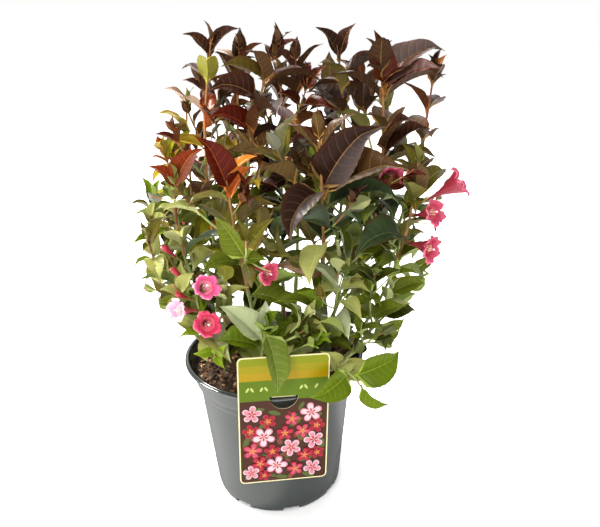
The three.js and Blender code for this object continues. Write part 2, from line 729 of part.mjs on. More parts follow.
function flowerGeometry(axis, rings) {
  const faces = [];
  const n = FLOWER.sides;
  const points = rings.flatMap(([at, radius]) => ringPoints(axis, at, radius, n));
  for (let row = 0; row + 2 * n <= points.length; row += n) {
    for (let k = 0; k < n; k += 1) {
      const [a, b] = [row + k, row + ((k + 1) % n)];
      faces.push([a, a + n, b], [b, a + n, b + n]);
    }
  }
  const last = points.length - n;
  for (let k = 1; k < n - 1; k += 1) faces.push([0, k, k + 1], [last, last + k + 1, last + k]);
  return closedGeometry(points, faces);
}

function growFlowers(mass) {
  FLOWERS.filter((row) => row.stem === mass.name).forEach((row) => {
    const axis = flowerAxis(mass, row);
    const rings = flowerRings(row, axis.span);
    rings.forEach(([at, radius]) => {
      occupy(add(axis.root, axis.heading, at), mass.name, "leaf");
      if (radius > ROOM.sample) {
        ringPoints(axis, at, radius, ROOM.mouthPoints).forEach((point) => occupy(point, mass.name, "leaf"));
      }
    });
    mass.flowers.push(toSolid(flowerGeometry(axis, rings)));
  });
}

// ---- Solids of a stem and its foliage ----

function boughMesh(mass) {
  const radiusAt = (share, centre) => {
    const taper = BOUGH.footRadius + (BOUGH.tipRadius - BOUGH.footRadius) * share;
    const height = centre[2] - COMPOST_TOP;
    return taper * (1 + (BOUGH.flare - 1) * Math.max(0, 1 - height / BOUGH.flareHeight));
  };
  const geometry = limb(mass.curve, 0, mass.bare, BOUGH.sides, BOUGH.steps, radiusAt, true);
  return piece(`stem_${mass.name}`, geometry, COLOURS.bark, 0.8);
}

function twigSolid(twig) {
  const length = curveLength(twig.curve) * (1 - twig.from);
  const steps = Math.max(TWIG.fewest, Math.round(length / TWIG.step));
  const radiusAt = (share) => twig.radius + (TWIG.tipRadius - twig.radius) * share;
  return toSolid(limb(twig.curve, twig.from, 1, TWIG.sides, steps, radiusAt));
}

const overlaps = (a, b) => {
  const [p, q] = [a.boundingBox(), b.boundingBox()];
  const apart = [0, 1, 2].some((i) => p.min[i] > q.max[i] || q.min[i] > p.max[i]);
  return !apart && !a.intersect(b).isEmpty();
};

// Without loose scraps, and with hollows that the fusing has sealed filled in.
function biggestPart(solid) {
  const parts = solid.decompose();
  return parts.reduce((best, part) => (part.volume() > best.volume() ? part : best));
}

// Whether every edge still has two faces once near points are rounded together.
function closes(solid) {
  const merged = mergeVertices(toGeometry(solid), ROUNDING);
  const faces = merged.index.array;
  const edges = new Map();
  for (let i = 0; i < faces.length; i += 3) {
    const corners = faces.slice(i, i + 3);
    if (new Set(corners).size < 3) continue;
    corners.forEach((a, k) => {
      const b = corners[(k + 1) % 3];
      const edge = `${Math.min(a, b)},${Math.max(a, b)}`;
      edges.set(edge, (edges.get(edge) ?? 0) + 1);
    });
  }
  return [...edges.values()].every((count) => count === 2);
}

// Twigs, flowers and leaves fused; a leaf that keeps the whole from closing is left out.
function foliageSolid(mass, others) {
  const twigs = mass.twigs.map(twigSolid);
  const leaves = mass.leaves.map(leafSolid)
    .filter((leaf) => !others.some((other) => overlaps(leaf, other)));
  const without = (skip) => {
    const kept = leaves.filter((_, i) => i !== skip);
    const whole = wasm.Manifold.union([...twigs, ...mass.flowers, ...kept]);
    return biggestPart(whole).simplify(SHORTEST_EDGE);
  };
  for (let skip = -1; skip < leaves.length; skip += 1) {
    const solid = without(skip);
    if (closes(solid)) return solid;
  }
  throw new Error(`the foliage of ${mass.name} doesn't close`);
}

// Fresh green low down, copper on the left, bronze at the back and plum on top.
function foliageColour({ tip: [x, y, z] }) {
  if (z < 320) return COLOURS.green;
  if (x < -60) return COLOURS.copper;
  return y > 80 ? COLOURS.bronze : COLOURS.plum;
}

// The boughs and masses of foliage, kept clear of the pieces in `made`.
function shrub(made) {
  const masses = STEMS.map(plant);
  masses.forEach((mass) => {
    limbSamples(mass.curve, 0).forEach((point) => occupy(point, mass.name, "limb"));
  });
  masses.forEach(growFlowers);
  masses.forEach(growLeadingLeaves);
  masses.forEach(forkTwigs);
  masses.forEach((mass) => mass.twigs.forEach((twig, number) => growTwigLeaves(mass, twig, number)));
  const boughs = masses.map(boughMesh);
  const others = [...made, ...boughs].map((mesh) => toSolid(mesh.geometry));
  const foliage = masses.map((mass) => {
    const solid = foliageSolid(mass, others);
    others.push(solid);
    return piece(`foliage_${mass.name}`, toGeometry(solid), foliageColour(mass), 0.5);
  });
  return [...boughs, ...foliage];
}

// ---- Pot, compost and label ----

function lathe(profile) {
  const points = profile.map(([radius, height]) => new THREE.Vector2(radius, height));
  const geometry = new THREE.LatheGeometry(points, POT.sides);
  geometry.rotateX(Math.PI / 2);
  return toSolid(geometry);
}

const innerRadiusAt = (height) => {
  const share = (height - POT.cornerHeight) / (POT.height - POT.collarHeight - POT.cornerHeight);
  return POT.bodyFoot + (POT.bodyTop - POT.bodyFoot) * share - POT.wall;
};

const FLOOR = POT.channelHeight + POT.wall; // top of the raised channel
const CREASE = POT.height - POT.collarHeight;

function pot() {
  const underLip = POT.height - POT.lipHeight;
  const innerLip = POT.rimRadius - POT.lipWidth;
  const profile = [
    [0, 0],
    [POT.channelInner - POT.slope, 0],
    [POT.channelInner, POT.channelHeight],
    [POT.channelOuter, POT.channelHeight],
    [POT.channelOuter + POT.slope, 0],
    [POT.footRadius, 0],
    [POT.bodyFoot, POT.cornerHeight],
    [POT.bodyTop, CREASE - 3],
    [POT.collarFoot, CREASE],
    [POT.collarTop, underLip],
    [POT.rimRadius, underLip],
    [POT.rimRadius, POT.height - 1],
    [POT.rimRadius - 1, POT.height],
    [innerLip, POT.height],
    [POT.collarTop - POT.wall, underLip],
    [POT.collarFoot - POT.wall, CREASE],
    [POT.bodyTop - POT.wall, CREASE - 3],
    [innerRadiusAt(FLOOR), FLOOR],
    [POT.channelInner - POT.slope - POT.wall, FLOOR],
    [POT.channelInner - POT.slope - 2 * POT.wall, POT.wall],
    [0, POT.wall],
  ];
  const middle = (POT.channelOuter + POT.slope + POT.footRadius) / 2;
  let solid = lathe(profile);
  for (let i = 0; i < POT.notches; i += 1) {
    const angle = (2 * Math.PI * i) / POT.notches - Math.PI / 2 + rad(9);
    const notch = new THREE.BoxGeometry(24, POT.notchWidth, 2 * POT.notchHeight);
    notch.translate(middle, 0, 0);
    notch.rotateZ(angle);
    const hole = new THREE.CylinderGeometry(POT.holeRadius, POT.holeRadius, 12, 8);
    hole.rotateX(Math.PI / 2);
    hole.translate((POT.channelInner + POT.channelOuter) / 2, 0, POT.channelHeight + 1);
    hole.rotateZ(angle + Math.PI / POT.notches);
    solid = solid.subtract(toSolid(notch)).subtract(toSolid(hole));
  }
  return piece("pot", toGeometry(solid), COLOURS.pot, 0.45);
}

function compost() {
  const rimOfSoil = (height) => POT.collarFoot - POT.wall - AIR
    + ((POT.collarTop - POT.collarFoot) * (height - CREASE)) / (POT.height - POT.lipHeight - CREASE);
  const solid = lathe([
    [0, POT.wall + AIR],
    [POT.channelInner - POT.slope - 2 * POT.wall - 2 * AIR, POT.wall + AIR],
    [POT.channelInner - POT.slope - POT.wall - 2 * AIR, FLOOR + AIR],
    [innerRadiusAt(FLOOR) - AIR, FLOOR + AIR],
    [POT.bodyTop - POT.wall - AIR, CREASE - 3],
    [POT.collarFoot - POT.wall - AIR, CREASE],
    [rimOfSoil(COMPOST_TOP), COMPOST_TOP],
    [0, COMPOST_TOP],
  ]);
  return piece("compost", toGeometry(solid), COLOURS.compost, 0.95);
}

function roundedCard() {
  const [w, h, r] = [LABEL.width / 2, LABEL.height, LABEL.corner];
  const shape = new THREE.Shape();
  shape.moveTo(-w + r, -h).lineTo(w - r, -h).absarc(w - r, -h + r, r, -Math.PI / 2, 0);
  shape.lineTo(w, -r).absarc(w - r, -r, r, 0, Math.PI / 2);
  shape.lineTo(-w + r, 0).absarc(-w + r, -r, r, Math.PI / 2, Math.PI);
  shape.lineTo(-w, -h + r).absarc(-w + r, -h + r, r, Math.PI, 1.5 * Math.PI);
  const slot = new THREE.Path();
  const slotTop = LABEL.slotTop - LABEL.top;
  slot.absellipse(0, slotTop, LABEL.slotWidth / 2, LABEL.slotHeight, Math.PI, 2 * Math.PI);
  shape.holes.push(slot);
  return shape;
}

function upright(shape, depth) {
  const geometry = new THREE.ExtrudeGeometry(shape, { depth, bevelEnabled: false, curveSegments: 4 });
  geometry.rotateX(Math.PI / 2);
  return geometry;
}

// The tongue leaves the card above the slot, bends back over the rim and hangs inside the pot.
function tongue() {
  const t = LABEL.thickness;
  const reach = LABEL.tongueReach;
  const over = LABEL.slotTop - LABEL.top;
  const foot = LABEL.tongueFoot - LABEL.top;
  const [upper, under] = [over - 0.3, over - 0.3 - t];
  const side = new THREE.Shape([
    [-t, over + 2], [0, over + 2], [0.6, upper], [reach - 0.4, upper], [reach + t, upper - 1.3],
    [reach + t, foot], [reach, foot], [reach, under - 0.8], [reach - 0.8, under], [0.2, under],
    [-t, over - 0.8],
  ].map(([y, z]) => new THREE.Vector2(y, z)).reverse());
  const geometry = new THREE.ExtrudeGeometry(side, { depth: LABEL.tongueWidth, bevelEnabled: false });
  geometry.translate(0, 0, -LABEL.tongueWidth / 2);
  geometry.rotateX(Math.PI / 2);
  geometry.rotateZ(Math.PI / 2);
  return geometry;
}

function label() {
  const card = toSolid(upright(roundedCard(), LABEL.thickness)).add(toSolid(tongue()));
  const geometry = toGeometry(card);
  geometry.rotateY(rad(LABEL.tilt));
  geometry.translate(0, -(POT.rimRadius + AIR), LABEL.top);
  geometry.rotateZ(rad(LABEL.heading));
  return piece("label", geometry, COLOURS.card, 0.35);
}

const made = [pot(), compost(), label()];
const weigela = new THREE.Group();
weigela.add(...made, ...shrub(made));

export default weigela;
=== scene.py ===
"""The look of a young weigela in a nursery pot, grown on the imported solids' own stems.

Growth is worked out in millimetres in the solids' frame; meshes are made in metres.
"""
import json
import math
from collections import namedtuple

import bmesh
import bpy
import numpy as np
from mathutils import Matrix, Vector
from mathutils.geometry import tessellate_polygon


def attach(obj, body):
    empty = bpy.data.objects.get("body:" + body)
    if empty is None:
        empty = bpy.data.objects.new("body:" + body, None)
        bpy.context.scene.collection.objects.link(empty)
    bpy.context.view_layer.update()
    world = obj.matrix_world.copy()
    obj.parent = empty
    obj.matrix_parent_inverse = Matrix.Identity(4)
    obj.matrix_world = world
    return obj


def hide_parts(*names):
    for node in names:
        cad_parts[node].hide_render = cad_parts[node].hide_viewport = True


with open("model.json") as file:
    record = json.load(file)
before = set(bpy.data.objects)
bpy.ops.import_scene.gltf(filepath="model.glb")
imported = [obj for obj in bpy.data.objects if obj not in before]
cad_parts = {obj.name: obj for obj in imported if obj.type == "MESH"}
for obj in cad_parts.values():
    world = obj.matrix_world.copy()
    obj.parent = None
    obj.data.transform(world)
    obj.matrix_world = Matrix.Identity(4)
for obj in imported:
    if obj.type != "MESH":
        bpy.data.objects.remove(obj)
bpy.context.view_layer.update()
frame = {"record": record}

MM = 0.001

# ---- Sizes shared with the solids, in millimetres and degrees ----

POT_HEIGHT, RIM_RADIUS, COMPOST_TOP = 160, 95, 146
AIR = 0.3
LABEL = dict(
    width=85, height=139, thickness=0.8, corner=5, top=205, heading=5, tilt=2, slot_width=27,
    slot_height=14, slot_top=162.6, tongue_width=22, tongue_reach=8.8, tongue_foot=152,
)
PAIRS, PAIR_STEP = (2, 14, 36, 66, 100), 36  # where pairs of leaves stand below a twig's tip
HABIT = (  # of a leaf, by how far it is below the tip: size, rise, droop
    (0, 0.3, 10, 10), (14, 0.62, 28, 26), (36, 0.86, 38, 42), (70, 1.0, 48, 52),
    (110, 1.0, 58, 56), (170, 0.88, 68, 48), (260, 0.7, 76, 36),
)
LEAF = dict(width=0.43, fold=24, smallest=28, petiole=10, wander=12)
RETRY = dict(tries=8, turn=40, wander=7, tilt=5, leaf_shrink=0.07, twig_shrink=0.05)
SIDE = dict(first=66, last=24, length=74, angle=38, lift=0.15, leaf=0.88, spiral=137, bare=0.15)
FLOWER = dict(length=34, mouth=12, throat=2.4, calyx=1.3, stalk=1.2, bud_length=26, bud_radius=3.4)
ROOM = dict(sample=5, limb_samples=40, edge=3, card=4, own_fork=2, mouth_points=8)

# Clearances from another mass's leaf and limb, and from its own ones beyond a free length at the root.
Gaps = namedtuple("Gaps", "other_leaf other_limb own_leaf own_limb free")
WIDE = Gaps(5.2, 4.4, 3.6, 3, 13)
CLOSE = Gaps(4, 3.2, 2.6, 1.5, 20)
FINE = Gaps(3.6, 3, 2.6, 1.6, 12)

CROWN = np.array([  # height, middle x, y, half widths
    (146, 12, -4, 108, 106), (200, 20, 0, 120, 112), (250, 14, 6, 154, 118), (330, 26, 12, 158, 120),
    (400, 40, 16, 140, 114), (450, 48, 24, 130, 106), (490, 50, 26, 122, 96),
], float)

# Of each stem: foot, tip, bow, bare share, turn, largest leaf, side twigs, fine twigs on the leader.
STEMS = dict(
    centre_front=((50, 4), (46, -57, 392), (4, -34, 0), 0.26, 80, 76, 2, 4),
    right_high=((54, 14), (104, -14, 452), (50, -8, 0), 0.3, 0, 70, 2, 1),
    right_top=((62, 24), (160, 8, 441), (33, -12, -40), 0.3, 20, 58, 2, 0),
    centre_high=((36, 30), (70, 20, 466), (44, 0, 0), 0.34, 10, 66, 2, 1),
    centre_back=((22, 50), (34, 60, 451), (10, 18, 0), 0.34, 60, 62, 2, 2),
    centre_left=((0, 22), (13, 14, 465), (-58, 0, 0), 0.32, 20, 64, 1, 1),
    left_centre=((-14, 46), (-21, 48, 462), (-22, 14, 0), 0.36, 70, 58, 2, 2),
    left_high=((-36, 30), (-46, 24, 470), (-38, 0, 0), 0.34, 0, 54, 3, 0),
    left_outer=((-44, 40), (-78, 64, 414), (-30, 4, -10), 0.32, 30, 58, 3, 0),
    left_front=((-28, 6), (-83, -26, 355), (-46, -8, 8), 0.26, 20, 60, 2, 1),
    left_far=((-52, 12), (-112, 16, 330), (-62, 6, -32), 0.26, 50, 54, 3, 1),
    centre_mid=((-8, -8), (-37, -53, 375), (-4, -28, 0), 0.22, 60, 70, 3, 3),
    right_mid=((68, 0), (136, -46, 366), (28, -14, -20), 0.24, 40, 64, 3, 2),
    right_low=((60, -22), (114, -44, 244), (16, -6, -6), 0.3, 10, 55, 3, 2),
    front_right=((44, -22), (62, -60, 284), (10, -16, 0), 0.16, 0, 60, 2, 5),
    front_low_right=((40, -46), (78, -102, 172), (2, -2, 34), 0.3, 0, 52, 2, 0),
    front_low_left=((-12, -36), (-6, -90, 234), (-6, -10, 0), 0.2, 10, 58, 3, 2),
    left_low=((-40, -16), (-70, -58, 262), (-18, -8, -6), 0.26, 30, 55, 2, 1),
    back_left=((-20, 62), (-54, 102, 418), (-14, 18, 0), 0.3, 100, 64, 3, 6),
    back_centre=((12, 66), (20, 108, 434), (0, 26, 0), 0.3, 10, 64, 3, 8),
    back_right=((46, 54), (102, 78, 432), (26, 16, 0), 0.3, 70, 64, 2, 5),
    back_low_left=((-40, 56), (-88, 84, 292), (-14, 12, -16), 0.26, 20, 58, 4, 5),
    back_low_right=((52, 38), (118, 78, 300), (14, 16, -16), 0.26, 60, 58, 3, 4),
)

# Of each leading leaf: below its stem's tip, where its own tip is, droop, tint, roll about its midrib.
LEADING_LEAVES = dict(
    centre_front=(
        (50, (96, -76, 409), 40, "plum_dark", 84), (50, (14, -97, 312), 104, "plum_dark", -10),
        (54, (119, -84, 374), 44, "brown", 30),
    ),
    right_high=(
        (30, (100, -18, 479), 24, "maroon", -120), (22, (168, 0, 463), 50, "plum", 28),
        (30, (157, -34, 448), 40, "maroon", 24), (90, (150, -32, 397), 44, "plum", 40),
        (84, (128, -48, 408), 40, "plum", 40), (50, (54, -10, 457), 70, "maroon", -40),
    ),
    right_top=((14, (168, 2, 456), 20, "copper", -30), (40, (132, 8, 433), 24, "maroon", 0)),
    centre_high=(
        (16, (52, 15, 483), 30, "plum_dark", -70), (16, (86, 22, 485), 25, "plum", 44),
        (46, (52, -4, 454), 60, "bronze", -20),
    ),
    centre_left=(
        (17, (16, 12, 486), 16, "plum", -76), (10, (36, 20, 471), 40, "maroon", 0),
        (32, (-38, 8, 452), 45, "bronze", -30), (52, (-50, -14, 433), 60, "plum", -50),
        (84, (-51, -10, 410), 55, "dark_red", -50), (84, (5, -4, 427), 25, "maroon", 30),
    ),
    left_centre=(
        (14, (-19, 44, 483), 16, "plum_dark", 0), (16, (1, 52, 470), 24, "maroon", -30),
        (18, (-43, 60, 465), 30, "rose", 0),
    ),
    left_high=(
        (15, (-70, 20, 480), 50, "plum", -40), (15, (-18, 20, 484), 44, "plum", 40),
        (38, (-49, -8, 458), 70, "yellow_green", 0), (82, (-56, 8, 421), 20, "flame", -60),
    ),
    left_outer=((10, (-98, 56, 430), 60, "rose", -20), (34, (-104, 42, 408), 54, "gold", -20)),
    left_front=((12, (-107, -26, 369), 50, "flame", -30), (12, (-57, -28, 385), 40, "flame", 60)),
    left_far=((70, (-138, 2, 262), 40, "green", 0), (20, (-134, 4, 326), 70, "olive", 0)),
    centre_mid=((32, (-55, -64, 402), 24, "dark_red", -80),),
    right_mid=((36, (130, -66, 374), 30, "brown", 0), (76, (72, -78, 292), 86, "teal", -26)),
    right_low=((8, (152, -36, 246), 40, "green", 34), (34, (146, -30, 214), 30, "deep_green", 30)),
    front_right=((96, (6, -88, 262), 50, "green", 0),),
    front_low_right=(
        (14, (122, -74, 190), 30, "leaf_green", -34), (2, (97, -112, 162), 50, "leaf_green", -20),
        (3, (62, -116, 152), 40, "leaf_green", 44), (20, (30, -110, 166), 40, "leaf_green", 30),
    ),
    front_low_left=((9, (2, -117, 176), 70, "sage", -20), (24, (-48, -70, 248), 24, "painted_glare", 0)),
    left_low=((60, (-92, -50, 206), 30, "fresh", 0),),
)

# Of each flower: below its stem's tip, middle of the mouth, size, whether it is still a bud.
FLOWERS = dict(
    right_high=((96, (112, -42, 350), 0.9, False),),
    centre_high=((112, (74, -16, 350), 0.9, False),),
    left_front=((92, (-98, -46, 297), 0.95, True),),
    centre_mid=((96, (0, -84, 280), 0.8, False),),
    right_mid=(
        (44, (174, -54, 350), 1.1, False), (52, (148, -68, 326), 0.9, False),
        (78, (148, -66, 290), 0.95, False),
    ),
    left_low=(
        (4, (-89, -66, 283), 0.85, True), (20, (-86, -74, 262), 0.8, True),
        (12, (-56, -84, 272), 0.9, False), (30, (-88, -72, 244), 0.85, False),
        (44, (-58, -80, 232), 0.95, False),
    ),
    back_centre=((120, (28, 132, 330), 1.0, False),),
    back_low_left=((26, (-104, 108, 276), 1.0, False), (34, (-72, 114, 268), 0.95, False)),
    back_low_right=((24, (142, 92, 292), 1.0, False), (30, (116, 112, 272), 0.9, False)),
)

# Finer growth that only the looks have: short twigs, and small leaves between the solids' own.
SPRAY = dict(length=38, leaf=0.78, smallest=17, angle=46, bare=0.3)
FILLER = dict(least=13, most_led=21, led=20)  # most_led: with a leading leaf this near the stem's tip

# ---- Colours, as sRGB 0 to 255 ----

TINTS = dict(  # upper face, midrib, underside
    plum_dark=((40, 22, 15), (140, 104, 58), (68, 46, 32)),
    plum=((56, 30, 20), (158, 114, 64), (84, 58, 38)),
    maroon=((74, 28, 17), (184, 118, 56), (104, 62, 36)),
    dark_red=((84, 22, 11), (192, 94, 38), (122, 50, 28)),
    # Painted glow: an orange-red that stands in for light shining through leaves from behind.
    flame=((126, 46, 17), (206, 118, 50), (152, 74, 34)),
    brown=((76, 50, 22), (168, 128, 64), (98, 76, 44)),
    bronze=((78, 64, 20), (148, 120, 54), (102, 90, 46)),
    copper=((150, 72, 24), (210, 130, 58), (164, 100, 50)),
    orange=((202, 116, 36), (226, 166, 76), (202, 136, 62)),
    gold=((172, 146, 40), (208, 182, 82), (180, 162, 76)),
    yellow_green=((136, 132, 24), (182, 178, 68), (150, 146, 58)),
    olive=((86, 80, 22), (140, 132, 60), (116, 112, 58)),
    deep_green=((58, 62, 16), (112, 116, 48), (98, 108, 52)),
    green=((92, 102, 22), (146, 156, 64), (130, 142, 74)),
    fresh=((118, 140, 26), (172, 186, 78), (150, 168, 88)),
    leaf_green=((90, 110, 16), (150, 166, 60), (122, 142, 66)),
    sage=((100, 116, 40), (160, 172, 92), (132, 148, 84)),
    # Painted highlight: a pale grey-green that stands in for sunlit glare on the leaves it is given to.
    painted_glare=((176, 186, 140), (196, 200, 150), (186, 194, 150)),
    teal=((50, 64, 36), (110, 120, 72), (98, 114, 78)),
    rose=((176, 144, 118), (198, 122, 98), (192, 166, 142)),
    pale=((156, 158, 86), (188, 192, 124), (174, 178, 120)),
    grey=((100, 104, 84), (150, 140, 106), (126, 126, 104)),
)
DEPTH = 0.8  # share of its light that a leaf's colour keeps
# Tints without a reddish margin.
PLAIN_MARGINS = ("deep_green", "green", "leaf_green", "sage", "fresh", "pale", "painted_glare", "yellow_green")
BROAD = dict(leaf_green=1.34, pale=1.16, painted_glare=1.2, deep_green=1.12, yellow_green=1.1)  # times as broad

# What a leaf's tint is dealt from, by the kind of mass and the height it grows from.
DEALS = dict(
    # On these left masses the orange and gold tints are partly the leaves' own colour and partly painted
    # glow of light through them from behind.
    copper_foliage=(
        (350, ("copper", "flame", "dark_red", "maroon", "gold", "orange", "rose", "olive")),
        (290, ("olive", "yellow_green", "gold", "pale", "green", "copper", "bronze", "fresh")),
        (0, ("pale", "green", "fresh", "yellow_green", "olive")),
    ),
    bronze_foliage=(
        (400, ("plum", "maroon", "brown", "plum_dark")),
        (330, ("brown", "bronze", "olive", "plum", "maroon", "yellow_green")),
        (0, ("bronze", "olive", "green", "pale", "deep_green")),
    ),
    plum_foliage=(
        (400, ("plum", "plum_dark", "maroon", "plum", "brown", "plum_dark")),
        (330, ("plum", "maroon", "brown", "bronze", "plum_dark", "olive", "grey")),
        (270, ("olive", "bronze", "green", "teal", "pale", "olive")),
        (0, ("olive", "deep_green", "green", "fresh", "pale")),
    ),
    green_foliage=(
        (250, ("olive", "green", "yellow_green", "bronze", "pale", "deep_green")),
        (0, ("green", "deep_green", "fresh", "leaf_green", "pale", "green")),
    ),
)

# Leaves of a known look, by number: tint, share of the length (0 leaves it out), roll.
KNOWN = dict(
    centre_front={
        5: ("brown", 0, 0), 6: ("teal", 1, 20), 7: ("olive", 1, 0), 9: ("pale", 0.78, 30),
        10: ("rose", 1, -20), 12: ("bronze", 1, 0), 13: ("olive", 1.1, 60), 14: ("brown", 0.95, -30),
        15: ("olive", 0.8, 0),
    },
    centre_high={
        8: ("maroon", 1, -30), 18: ("fresh", 1, 0), 19: ("fresh", 1, 60), 22: ("plum", 0, 0),
        23: ("plum", 0, 0), 24: ("plum", 0, 0),
    },
    centre_back={9: ("green", 1, 0)},
    centre_left={11: ("gold", 0.8, 0), 18: ("orange", 1, -40)},
    left_centre={5: ("gold", 1, 0), 6: ("gold", 1, -40), 8: ("painted_glare", 0.8, 0)},
    left_high={7: ("flame", 1, 0), 8: ("gold", 0.66, -30), 21: ("rose", 1.1, 0)},
    left_outer={10: ("yellow_green", 1, 30), 11: ("yellow_green", 1, 30)},
    left_front={2: ("pale", 0.7, 0), 3: ("olive", 0.7, 20)},
    centre_mid={
        1: ("orange", 1, 30), 3: ("copper", 1, 0), 4: ("bronze", 1, 40), 7: ("green", 1, -30),
        9: ("green", 1, 0), 12: ("olive", 0.6, 0), 13: ("pale", 1, -30), 17: ("green", 0.75, 0),
        18: ("green", 0.9, -50), 27: ("olive", 0, 0), 28: ("olive", 0.6, 0), 51: ("green", 0, 0),
        52: ("green", 0, 0),
    },
    right_mid={6: ("green", 1, 0), 7: ("green", 1, 0)},
    front_right={
        2: ("painted_glare", 1, 0), 4: ("painted_glare", 0.9, 40), 6: ("green", 1, 0), 29: ("green", 0, 0),
        33: ("green", 0, 0), 35: ("green", 0, 0),
    },
    front_low_right={1: ("leaf_green", 1.3, -8), 2: ("leaf_green", 0, 0)},
    front_low_left={2: ("painted_glare", 1, 0), 37: ("fresh", 0, 0)},
)

# Leaves with a half in painted sheen (colours pushed toward grey, and glossier), to the right (1) or left
# (-1) of the midrib, or with none (0).
SHINY = dict(
    centre_front={0: -1, 1: 1, 2: -1, 13: 1},
    right_high={0: 0, 1: 1, 2: 1},
    centre_left={4: 0},
    front_low_right={0: 0, 1: 0},
    front_low_left={0: 0, 1: 0},
)

# ---- Small tools ----


def unit(v):
    return v / math.sqrt(v @ v)


def square_to(axis, heading):
    """The direction square to axis on the side of heading."""
    return unit(heading - axis * (heading @ axis))


def compass(degrees):
    return np.array([math.cos(math.radians(degrees)), math.sin(math.radians(degrees)), 0.0])


def smooth(x):
    x = np.clip(x, 0, 1)
    return x * x * (3 - 2 * x)


def turns(count):
    """Angles of a number of spokes."""
    return 2 * np.pi * np.arange(count) / count


PRIME = 2147483647


def dice(*numbers):
    """Park and Miller's generator, seeded with counting numbers as in the solids' source."""
    seed = 1
    for n in numbers:
        seed = (seed * 131 + n) % PRIME
    state = [(seed * 7919 + 104729) % PRIME]

    def draw(low=0.0, high=1.0):
        state[0] = state[0] * 48271 % PRIME
        return low + (high - low) * (state[0] / PRIME)

    draw()
    draw()
    return draw


class Curve:
    """A stem's or twig's line: a quadratic Bezier bowed off its chord."""

    STEPS = 100

    def __init__(self, start, end, bow):
        self.a, self.c = np.array(start, float), np.array(end, float)
        self.b = self.a + (self.c - self.a) * 0.5 + np.array(bow, float)
        points = self.points(np.arange(self.STEPS + 1) / self.STEPS)
        self.runs = np.sqrt(((points[1:] - points[:-1]) ** 2).sum(1))
        self.length = self.runs.sum()

    def points(self, t):
        t = np.asarray(t, float)[..., None]
        return (1 - t) ** 2 * self.a + 2 * (1 - t) * t * self.b + t * t * self.c

    def heading(self, t):
        return unit((1 - t) * (self.b - self.a) + t * (self.c - self.b))

    def below_tip(self, distance):
        left = distance
        for i in range(self.STEPS - 1, -1, -1):
            if self.runs[i] >= left:
                return (i + 1 - left / self.runs[i]) / self.STEPS
            left -= self.runs[i]
        return 0.0


# ---- Leaves as lines and widths ----


def habit_at(below):
    i = max(n for n in range(len(HABIT) - 1) if HABIT[n][0] <= below)
    low, high = HABIT[i], HABIT[i + 1]
    share = min(1, (below - low[0]) / (high[0] - low[0]))
    return [low[k] + (high[k] - low[k]) * share for k in (1, 2, 3)]


def pair_below(pair):
    return PAIRS[pair] if pair < len(PAIRS) else PAIRS[-1] + PAIR_STEP * (pair - len(PAIRS) + 1)


def half_width(leaf, share):
    bulge = np.sin(np.pi * np.clip(share, 0, 1) ** 0.82) ** 0.9
    return 0.5 * leaf["length"] * leaf["width"] * bulge * (1.06 - 0.3 * share)


def make_leaf(root, along, heading, **shape):
    out = square_to(along, heading)
    return dict(root=root, along=along, out=out, side=np.cross(along, out), **shape)


def midrib(leaf, share):
    """Points of the midrib at the shares, and the blade's normals there."""
    share = np.asarray(share, float)
    rise, droop = math.radians(leaf["rise"]), math.radians(max(leaf["droop"], 1))
    angle = rise + droop * share
    forward = leaf["length"] * (np.sin(angle) - math.sin(rise)) / droop
    outward = leaf["length"] * (math.cos(rise) - np.cos(angle)) / droop
    points = leaf["root"] + forward[..., None] * leaf["along"] + outward[..., None] * leaf["out"]
    normals = np.sin(angle)[..., None] * leaf["along"] - np.cos(angle)[..., None] * leaf["out"]
    return points, normals


def blade_samples(leaf):
    rows = max(3, int(leaf["length"] / ROOM["sample"] + 0.5))
    share, across = [], []
    for i in range(rows + 1):
        steps = max(1, math.ceil(float(half_width(leaf, i / rows)) / ROOM["sample"]))
        share += [i / rows] * (2 * steps + 1)
        across += [k / steps for k in range(-steps, steps + 1)]
    share, across = np.array(share), np.array(across)
    points, normals = midrib(leaf, share)
    half, fold = half_width(leaf, share), math.radians(leaf["fold"])
    points = points + (half * across * math.cos(fold))[:, None] * leaf["side"]
    points = points + (half * np.abs(across) * math.sin(fold))[:, None] * normals
    return points, share * leaf["length"]


# ---- Room: which places are taken, and by whom ----


class Room:
    """Points of what has grown, each with its mass and its kind."""

    LIMB, BLADE = 0, 1

    def __init__(self, capacity=400000):
        self.points = np.full((capacity, 3), 1e9)
        self.owner = np.zeros(capacity, np.int32)
        self.kind = np.zeros(capacity, np.int8)
        self.count = 0

    def occupy(self, points, owner, kind):
        points = np.atleast_2d(points)
        span = slice(self.count, self.count + len(points))
        self.points[span], self.owner[span], self.kind[span] = points, owner, kind
        self.count = span.stop

    def near(self, points, reach):
        """The held points near these ones, and the squares of the distances to each."""
        low, high = points.min(0) - reach, points.max(0) + reach
        held = self.points[: self.count]
        found = np.flatnonzero(((held > low) & (held < high)).all(1))
        return found, ((points[:, None] - held[found][None]) ** 2).sum(2)

    def leaf_fits(self, owner, points, along, gaps):
        found, squares = self.near(points, gaps.other_leaf)
        blade = self.kind[found] == self.BLADE
        own = self.owner[found] == owner
        apart = np.where(blade, gaps.other_leaf, gaps.other_limb) * ~own
        inside = np.where(blade, gaps.own_leaf, gaps.own_limb) * own
        reach = apart[None] + inside[None] * (along >= gaps.free)[:, None]
        return not (squares < reach * reach).any()

    def limb_fits(self, owner, points, other_limb):
        found, squares = self.near(points, other_limb)
        fork = (self.owner[found] == owner) & (self.kind[found] == self.LIMB)
        reach = np.where(fork, ROOM["own_fork"], other_limb)
        return not (squares < (reach * reach)[None]).any()


def inside_crown(points):
    x, y, z = points.T
    heights = CROWN[:, 0]
    if z.min() < heights[0] or z.max() >= heights[-1]:
        return False
    mid_x, mid_y, wide, deep = (np.interp(z, heights, CROWN[:, k]) for k in (1, 2, 3, 4))
    return bool((np.hypot((x - mid_x) / wide, (y - mid_y) / deep) < 1).all())


